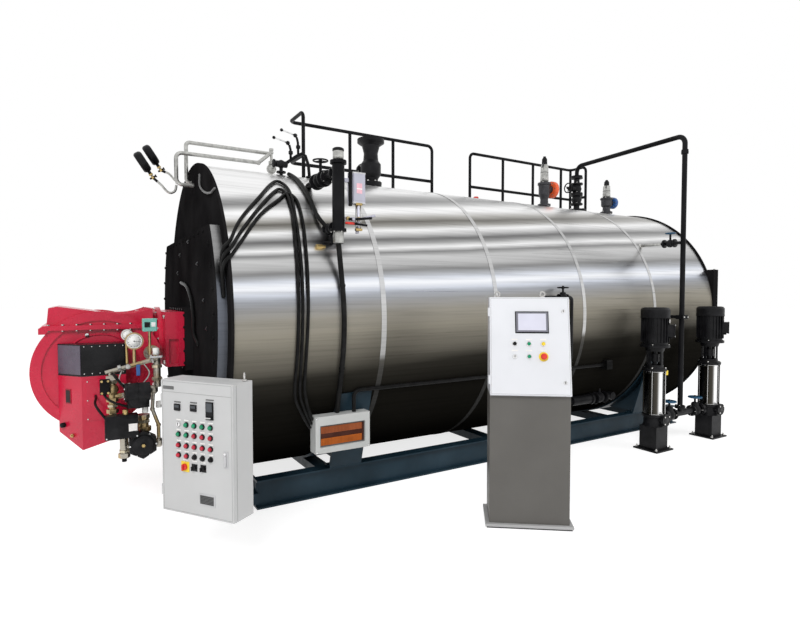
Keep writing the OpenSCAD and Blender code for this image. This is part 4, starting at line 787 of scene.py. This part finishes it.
def console_controls():
    y = FACE
    p = Piece("console_controls", CONSOLE, SLOPE)
    outline(p, 7, 493, 9, 622, 1.4)
    panel(p, 160, 370, 394, 536, 3.2, "ctrl", 2)
    panel(p, 166, 364, 401, 529, 2, "bezel", 0.8, -26)
    panel(p, 178, 352, 412, 520, 1.2, "screen", 0.4, -27.6)
    for x, m in zip((155, 244, 333), ("ctrl", "green", "yellow")):
        button(p, x, 326, m, 12, y, "chrome")
        label(p, x, 350, 359, 19)
        label(p, x, 279, 288, 19)
    p.rod((155, y, 245), NEAR, 9, 14, "chrome", 28, 2)
    panel(p, 153, 157, 237, 253, 2, "dark", 0, y - 8)
    button(p, 244, 245, "green", 12, y, "chrome")
    p.rod((333, y, 245), NEAR, 3, 30, "yellow", 36, 1)
    p.rod((333, y - 2, 245), NEAR, 12, 12, "redcap", 24)
    p.lathe((333, y - 13, 245), NEAR, [(16, 0), (20, 3), (20, 10), (15, 15), (0.1, 17)], "redcap", 32)
    for z in (538, 84):
        p.rod((462, y, z), NEAR, 5, 12, "chrome", 28, 1.5)
        panel(p, 460, 464, z - 8, z + 8, 1.5, "dark", 0, y - 4.5)
    p.done()

    p = Piece("console_lifting_eyes", PACKAGE, CON)
    for x in (86, 378):
        p.rod((x, 228, 1462), UP, 8, 13, "steel", 24, 2)
        p.torus((x, 228, 1484), (0.1, 1, 0), 15, 5, "steel", 30, 10)
    p.box((28, 27.2, 842), (528, 28.2, 847), "cab_edge")
    p.done()

    # foot: the column runs down to a flat plate on dark pads
    p = Piece("console_foot", PACKAGE, CON)
    p.box((28, 28, 27), (528, 300, 70.2), "column")
    p.box((3, 3, 9), (553, 337, 27), "foot", 3)
    for x in (12, 444):
        for y in (10, 250):
            p.box((x, y, 0), (x + 100, y + 80, 10), "dark")
    # dark sheet under the plate between the pads: painted shade
    p.box((20, 6, 2), (536, 330, 10), "dark")
    p.done("console_plinth")


def terminal_strip():
    """Coloured rows of terminals behind the window of the terminal box."""
    p = Piece("terminal_strip")
    p.box((-2070, -1152.5, 436), (-1728, -1150, 583), "vent")
    p.box((-2062, -1159, 446), (-1736, -1152, 494), "orange", 1.5)
    p.box((-2062, -1159, 528), (-1736, -1152, 574), "rust", 1.5)
    p.box((-2062, -1156, 492), (-1736, -1152, 530), "brown")
    p.box((-1752, -1160, 446), (-1736, -1152, 574), "brown", 1)
    for k in range(1, 29):
        x = -2062 + k * 10.8
        p.box((x, -1159.6, 450), (x + 1, -1158.6, 491), "brown")
        p.box((x, -1159.6, 531), (x + 1, -1158.6, 570), "brown")
    for x in (-2095, -1700):
        for z in (404, 637):
            p.rod((x, -1165, z), NEAR, 4, 6, "chrome", 16, 1)
    p.done()


def flange(p, c, d, radius, count, r, h):
    """Bolts through a pair of flanges, heads and nuts on both sides; h is the thickness of the pair."""
    c, d = Vector(c), Vector(d)
    p.bolts(c, d, radius, count, r, r * 0.7, "steel", stud=r * 0.5)
    p.bolts(c - d * h, -d, radius, count, r, r * 0.7, "steel", stud=r * 0.5)


def top_fittings():
    p = Piece("top_fitting_bolts")
    flange(p, (STEAM_X, 0, TOP + 58), UP, 88, 8, 10, 46)
    flange(p, (STEAM_X, 142, TOP + 179), FAR, 76, 8, 8, 24)
    p.rod((STEAM_X, 0, TOP + 462), UP, 1.5, 112, "steel", 48)
    p.rod((STEAM_X, 0, TOP + 463), UP, 1, 68, "dark", 48)
    for k in range(8):
        a = tau * (k + 0.5) / 8
        x, y = STEAM_X + 112 * cos(a), 112 * sin(a)
        p.rod((x, y, TOP + 462), UP, 1.6, 9, "dark", 16)
    for x, k in SAFETY:
        flange(p, (x, 0, TOP + 52), UP, 61, 4, 8, 22)
        p.bolts((x, 0, TOP + 300 * k), UP, 62, 6, 7, 7, "steel", stud=6)
        p.bolts((x + 100, 0, TOP + 232 * k), FRONT, 76 * k, 6, 8, 8, "steel")
        p.torus((x, 0, TOP + 420 * k), UP, 44, 3, "valve", 32, 6)
        bonnet = [(47.5, 0), (46, 60 * k), (42.5, 190 * k), (34, 204 * k)]
        cap = [(31, 0), (32, 4), (30, 64 * k), (18, 82 * k), (16, 96 * k), (0.1, 97 * k)]
        p.lathe((x, 0, TOP + 309 * k), UP, bonnet, "galv", 32)
        p.lathe((x, 0, TOP + 512 * k), UP, cap, "ctrl", 28)
    for h, radius in ((108, 58), (236, 58), (354, 58), (428, 56)):
        p.bolts((FEED_X, 0, TOP + h), UP, radius, 4, 7, 7, "steel", 0.78, stud=5)
    flange(p, (FEED_X, 0, TOP + 34), UP, 100, 4, 9, 24)
    p.done()

    p = Piece("outlet_caps")
    p.lathe((1334, 0, TOP + 232), REAR, [(52, 0), (93, 1), (97, 6), (97, 50), (90, 56), (0.1, 57)],
            "orangecap", 48)
    p.torus((1389, 0, TOP + 232), REAR, 60, 4, "orangecap", 40, 8)
    p.lathe((2444, 0, TOP + 174), REAR, [(40, 0), (68, 1), (72, 5), (72, 44), (66, 50), (0.1, 51)],
            "bluecap", 44)
    p.rod((219, 0, TOP - 2), UP, 22, 20, "steel", 24, 1)
    p.rod((219, 0, TOP + 18), UP, 27, 27, "redcap", 28, 5)
    p.done()

    p = Piece("vent_cocks")
    p.nut((-2025, 0, 2712), UP, 22, 19, "galv")
    y = -300
    foot = AXIS + sqrt(R * R - y * y)
    # angle valve on the drum, the pipe over to its twin, and two cocks on that pipe
    p.rod((-2040, y, foot - 4), UP, 2544 - foot, 14, "cast", 20)
    p.rod((-2040, y, foot + 14), UP, 14, 38, "cast", 28, 2)
    p.sphere((-2040, y, 2538), 34, "cast")
    p.rod((-2084, y, 2538), REAR, 94, 26, "cast", 24, 3)
    p.lathe((-2092, y, 2538), FRONT, [(30, 0), (34, 4), (34, 12), (30, 16)], "black", 28)
    p.tube([(-2005, y, 2545), (-1968, y, 2574), (-1905, y, 2622), (-1862, y, 2646), (-1832, y, 2632),
            (-1806, y, 2560), (-1796, y, foot - 4)], 13, "black", 16)
    p.rod((-1796, y, foot), UP, 14, 32, "cast", 24, 2)
    for x, z, h in ((-1958, 2584, 118), (-1894, 2630, 142)):
        p.tube([(x, y, z), (x - 2, y, z + h * 0.7), (x - 12, y, z + h)], 10, "black", 14)
        p.lathe((x, y, z + h * 0.35), UP, [(11, 0), (18, 5), (18, 26), (11, 31)], "cast", 24)
        e = Vector((x - 24, y, z + h + 14))
        p.sphere(e, 17, "cast")
        p.tube([e, e + Vector((-62, 0, 16)), e + Vector((-112, 0, 26))], 6.5, "chrome", 12)
        p.sphere(e + Vector((-116, 0, 27)), 13, "black")
    p.nut(skin(64.5, -2065, 12), REAR, 45, 17, "brass")
    p.nut(skin(64.5, -2020, 12), REAR, 22, 12, "brass")
    p.done()


def gauge_heads():
    """The two gauges with rounded cases on their bent siphons; stands for the plain solid."""
    p = Piece("gauge_heads")
    face = Vector((-0.824, 0.197, -0.531)).normalized()
    down = Vector((0.558, 0.129, -0.819))
    down = (down - face * down.dot(face)).normalized()
    for c, path in (((-3034, -60, 2480), [(-2908, -60, 2323), (-2869, -60, 2279), (-2838, -60, 2268),
                                          (-2808, -60, 2288), (-2798, -60, 2332)]),
                    ((-2964, 40, 2563), [(-2838, 38, 2434), (-2806, 10, 2390), (-2794, -40, 2362),
                                         (-2796, -58, 2350)])):
        c = Vector(c)
        p.lathe(c - face * 30, face, [(0.1, 0), (60, 0), (73, 6), (79, 18), (79, 44), (73, 55), (66, 60),
                                      (66, 56)], "black", 48)
        # dark glass on the face and no dial behind it: painted shade and a painted dark reflection
        p.lathe(c + face * 25.5, face, [(67, 0), (0.1, 0.5)], "glass", 48)
        a, b = c + down * 76, c + down * 128
        p.rod(a, down, 22, 12, "cast", 20, 2)
        p.nut(a + down * 20, down, 14, 15, "brass")
        p.tube([a, b], 8, "galv", 12)
        p.nut(b - down * 10, down, 20, 14, "brass")
        p.rod(b - face * 24, face, 48, 7, "cast", 14, 1)
        p.rod(b - face * 30, face, 8, 12, "cast", 16, 2)
        p.bent([b] + path, 9, "galv", 14)
        e = Vector(path[0])
        p.tube([b, b.lerp(e, 0.6)], 10, "cast", 12)
    p.done("pressure_gauges")


def column_trim():
    p = Piece("water_column_trim")
    x, y = COLUMN_X, COLUMN_Y
    p.lathe((x, y, 2386), UP, [(37, 0), (37, 66), (36, 68)], "galv", 36)
    p.lathe((x, y, 2452), UP, [(39, 0), (40, 4), (39, 16), (30, 22), (0.1, 24)], "cast", 36)
    p.nut((x, -955, 1940), FAR, 30, 38, "galv")
    p.lathe((x, y, 1831), UP, [(34, 0), (36, 3), (36, 92), (34, 96)], "galv", 36)
    p.bolts((x, y, 2384), UP, 47, 6, 6, 6, "steel")
    p.bolts((x, y, 1911), -UP, 48, 6, 6, 6, "steel")
    for yy in (-1010, -1150):
        p.bolts((x, yy, 2313), NEAR, 42, 4, 6, 6, "steel", 0.78)
    p.bent([skin(50.5, -2002, 16.4), (-1994, -985, 2020), (-1972, -1030, 1972), (-1944, -1062, 1948)], 15,
           "rubber", 16)
    # level glass between its two ends, with rails
    gx = x + 142
    for dx in (-17, 17):
        p.rod((gx + dx, y - 20, 1925), UP, 175, 3.5, "steel", 10)
    p.rod((gx, y - 20, 1930), UP, 168, 8, "screen", 18)
    for z in (1922, 2096):
        p.box((gx - 24, y - 34, z), (gx + 24, y - 8, z + 16), "brass", 2)
    # cock levers, one black and one red
    p.tube([(x + 60, y - 30, 1996), (x + 120, y - 46, 1998), (x + 228, y - 52, 2012)], 9, "black", 12)
    p.tube([(x + 36, y - 34, 1968), (x + 96, y - 46, 1966)], 9, "redcap", 12)
    p.tube([(x + 94, y - 46, 1966), (x + 190, y - 56, 1958)], 8, "black", 12)
    p.nut((x + 60, y - 34, 2002), FAR, 28, 14, "brass")
    p.nut((x + 138, y - 44, 2002), FAR, 34, 14, "brass")
    # bare strip on the transmitter, and the black rail beside it
    p.box((x + 106, y - 34, 2128), (x + 182, y - 32, 2306), "lilac", 0.8)
    p.box((x + 122, y - 35, 2176), (x + 164, y - 33.5, 2246), "pink", 0.4)
    p.box((x + 122, y - 35.4, 2204), (x + 164, y - 33.5, 2212), "patch", 0.4)
    p.box((x + 72, y - 26, 2088), (x + 92, y - 6, 2322), "black", 2)
    for z in (2112, 2316):
        p.box((x + 96, y - 33, z - 6), (x + 192, y + 33, z + 6), "handle", 3)
    p.done()


def pump_trim():
    p = Piece("pump_trim")
    for i, (x, s) in enumerate(zip(PUMPS, (1, -1)), 1):
        for dx in (-106, 106):
            for dy in (-101, 101):
                p.nut((x + dx, PUMP_Y + dy, 14), UP, 12, 12, "steel")
                p.rod((x + dx, PUMP_Y + dy, 26), UP, 12, 6, "steel", 12)
        for k in range(4):
            a = radians(90 * k + 20)
            p.nut((x + 95 * cos(a), PUMP_Y + 95 * sin(a), 783), UP, 12, 11, "steel")
        # cowl: grille rings on the top and the rolled edge
        for r in range(30, 103, 18):
            p.torus((x, PUMP_Y, 1358), UP, r, 2.4, "cast", 44, 6)
        p.torus((x, PUMP_Y, 1263), UP, 131, 2.6, "black", 48, 6)
        p.bolts((x, PUMP_Y, 1008), UP, 120, 4, 8, 8, "steel", 0.4)
        # lid of the junction box
        rot = Matrix.Translation((x, PUMP_Y, 0)) @ Matrix.Rotation(radians(-60), 4, "Z")
        q = Piece("pump_junction_lid_%d" % i, PACKAGE, rot)
        q.box((162, -50, 1082), (170, 50, 1203), "black", 3)
        for yy in (-42, 42):
            for zz in (1090, 1195):
                q.rod((169, yy, zz), REAR, 4, 4, "chrome", 12, 1)
        q.nut((136, -20, 1070), UP, 16, 13, "black")
        q.box((118, -30, 1215), (128, 30, 1250), "patch", 1)
        q.done()
        # bright rings of the sleeve and coupling bolts
        for z in (346, 752):
            p.torus((x, PUMP_Y, z), UP, 89, 2.5, "chrome", 48, 6)
        p.bolts((x, PUMP_Y, 880), UP, 33, 4, 6, 6, "steel")
        flange(p, (x + s * 182, PUMP_Y, MANIFOLD_Z), (s, 0, 0), 50, 4, 8, 38)
        p.bolts((x, PUMP_Y - 134, MANIFOLD_Z), NEAR, 46, 4, 8, 8, "steel", 0.78)
        p.rod((x, PUMP_Y - 134, MANIFOLD_Z), NEAR, 1, 34, "dark", 28)
    p.box((1340, PUMP_Y - 62, 712), (1372, PUMP_Y - 60, 756), "yellow", 0.6)
    p.tube([(1356, PUMP_Y - 61, 755), (1350, PUMP_Y - 52, 772), (1344, PUMP_Y - 34, 778)], 1.5, "steel", 6)
    for x in MANIFOLD_VALVES:
        flange(p, (x + 70, PUMP_Y, MANIFOLD_Z), REAR, 46, 4, 7, 16)
        flange(p, (x - 54, PUMP_Y, MANIFOLD_Z), REAR, 46, 4, 7, 16)
    p.done()

    p = Piece("pump_valve_wheels")
    for x in MANIFOLD_VALVES:
        p.wheel((x, PUMP_Y, MANIFOLD_Z + 132), UP, 59, 8.2, "blue", 3, 17)
        p.nut((x, PUMP_Y, MANIFOLD_Z + 142), UP, 11, 8, "brass")
    p.done()


def side_fittings():
    p = Piece("side_fittings")
    # branch from the feed riser into the jacket with its wheel valve
    p.rod((RISER_X, -950, 2000), NEAR, 265, 13, "galv", 20)
    p.rod((RISER_X, -1200, 2000), NEAR, 208, 15, "cast", 20)
    p.sphere((RISER_X, -1295, 2000), 40, "cast")
    for y in (-1232, -1342):
        p.rod((RISER_X, y - 9, 2000), FAR, 18, 42, "cast", 28, 2)
    p.rod((RISER_X, -1295, 2030), UP, 74, 10, "cast", 16)
    p.wheel((RISER_X, -1295, 2102), UP, 46, 6, "blue", 4, 12, 28)
    # rosettes where pipes pass the jacket
    for th, x, r in ((83.0, 40, 30), (53.7, RISER_X, 28)):
        c = skin(th, x, -2)
        p.lathe(c, outward(c), [(r, 0), (r, 4), (r * 0.6, 7)], "steel", 32)
    p.wheel((171, -1262, 1544), UP, 44, 6.8, "black", 3, 13)
    for x in (119, 209):
        p.nut((x, -1262, 1458), REAR, 14, 32, "cast")
    # hinge pins of the rear cover
    for z in (1340, 1540, 1730):
        p.rod((2700, REAR_HINGE_Y, z - 34), UP, 68, 20, "black", 24, 2)
        p.rod((2700, REAR_HINGE_Y, z + 32), UP, 12, 11, "steel", 16, 1)
        p.box((2664, REAR_HINGE_Y, z - 22), (2700, -1140, z + 22), "black_hot", 2)
    # clamp bolts on the stay of the feed riser
    for dx in (-30, 30):
        p.nut((RISER_X + dx, PUMP_Y - 38, 1260), NEAR, 10, 8, "steel")
    p.bolts((RISER_X, PUMP_Y, 374), UP, 38, 4, 7, 7, "steel", 0.4)
    p.nut((RISER_X, PUMP_Y, 2868), UP, 28, 38, "black")
    # bolts of the saddles on the skid
    for x in (-SADDLE_X, SADDLE_X):
        for y in (-900, 900):
            for dx in (-96, -32, 32, 96):
                p.nut((x + dx, y, 214), UP, 13, 13, "navy_edge")
    p.done()


def blowdown_trim():
    p = Piece("blowdown_trim")
    y, z = -905, 425
    for x, d in ((1052, FRONT), (1188, REAR)):
        p.torus((x, y, z), REAR, 56, 6, "cast", 32, 8)
        p.bolts((x, y, z), d, 44, 6, 7, 8, "steel")
    p.done()


def rail_feet():
    p = Piece("handrail_feet")
    feet = [(-30, x) for x in (55, -990, -465, 610, 1135, 1653, 2174, 2360)]
    ends = [(-degrees(asin(y / R)), x) for x, y in ((-1643, 240), (2360, 340))]
    for theta, x in feet + ends:
        c = skin(theta, x)
        n = outward(c)
        p.lathe(c - n, n, [(44, 0), (44, 7), (40, 9)], "black", 28)
        if theta == -30:
            p.bolts(c + n * 6, n, 32, 4, 6, 5, "steel")
    p.done()


floor()
white_world()
area("key", (-6.5, -7.0, 6.5), (-0.5, 0, 1.2), (4, 3), 520)
area("fill", (5.5, -7.5, 4.0), (0.5, 0, 1.2), (4, 3), 260)
area("back", (0, 7.5, 6.0), (0, 0, 1.5), (8, 3), 300)
camera((-3.4636, -4.5348, 1.4796), 2.10, -31.03, 24.01)
bpy.context.scene.view_settings.view_transform = "Standard"

for build in (front_bolts, burner_trim, burner_boxes, gas_trim, cabinet_controls, console_controls,
              terminal_strip, top_fittings, gauge_heads, column_trim, pump_trim, side_fittings, blowdown_trim,
              rail_feet):
    build()
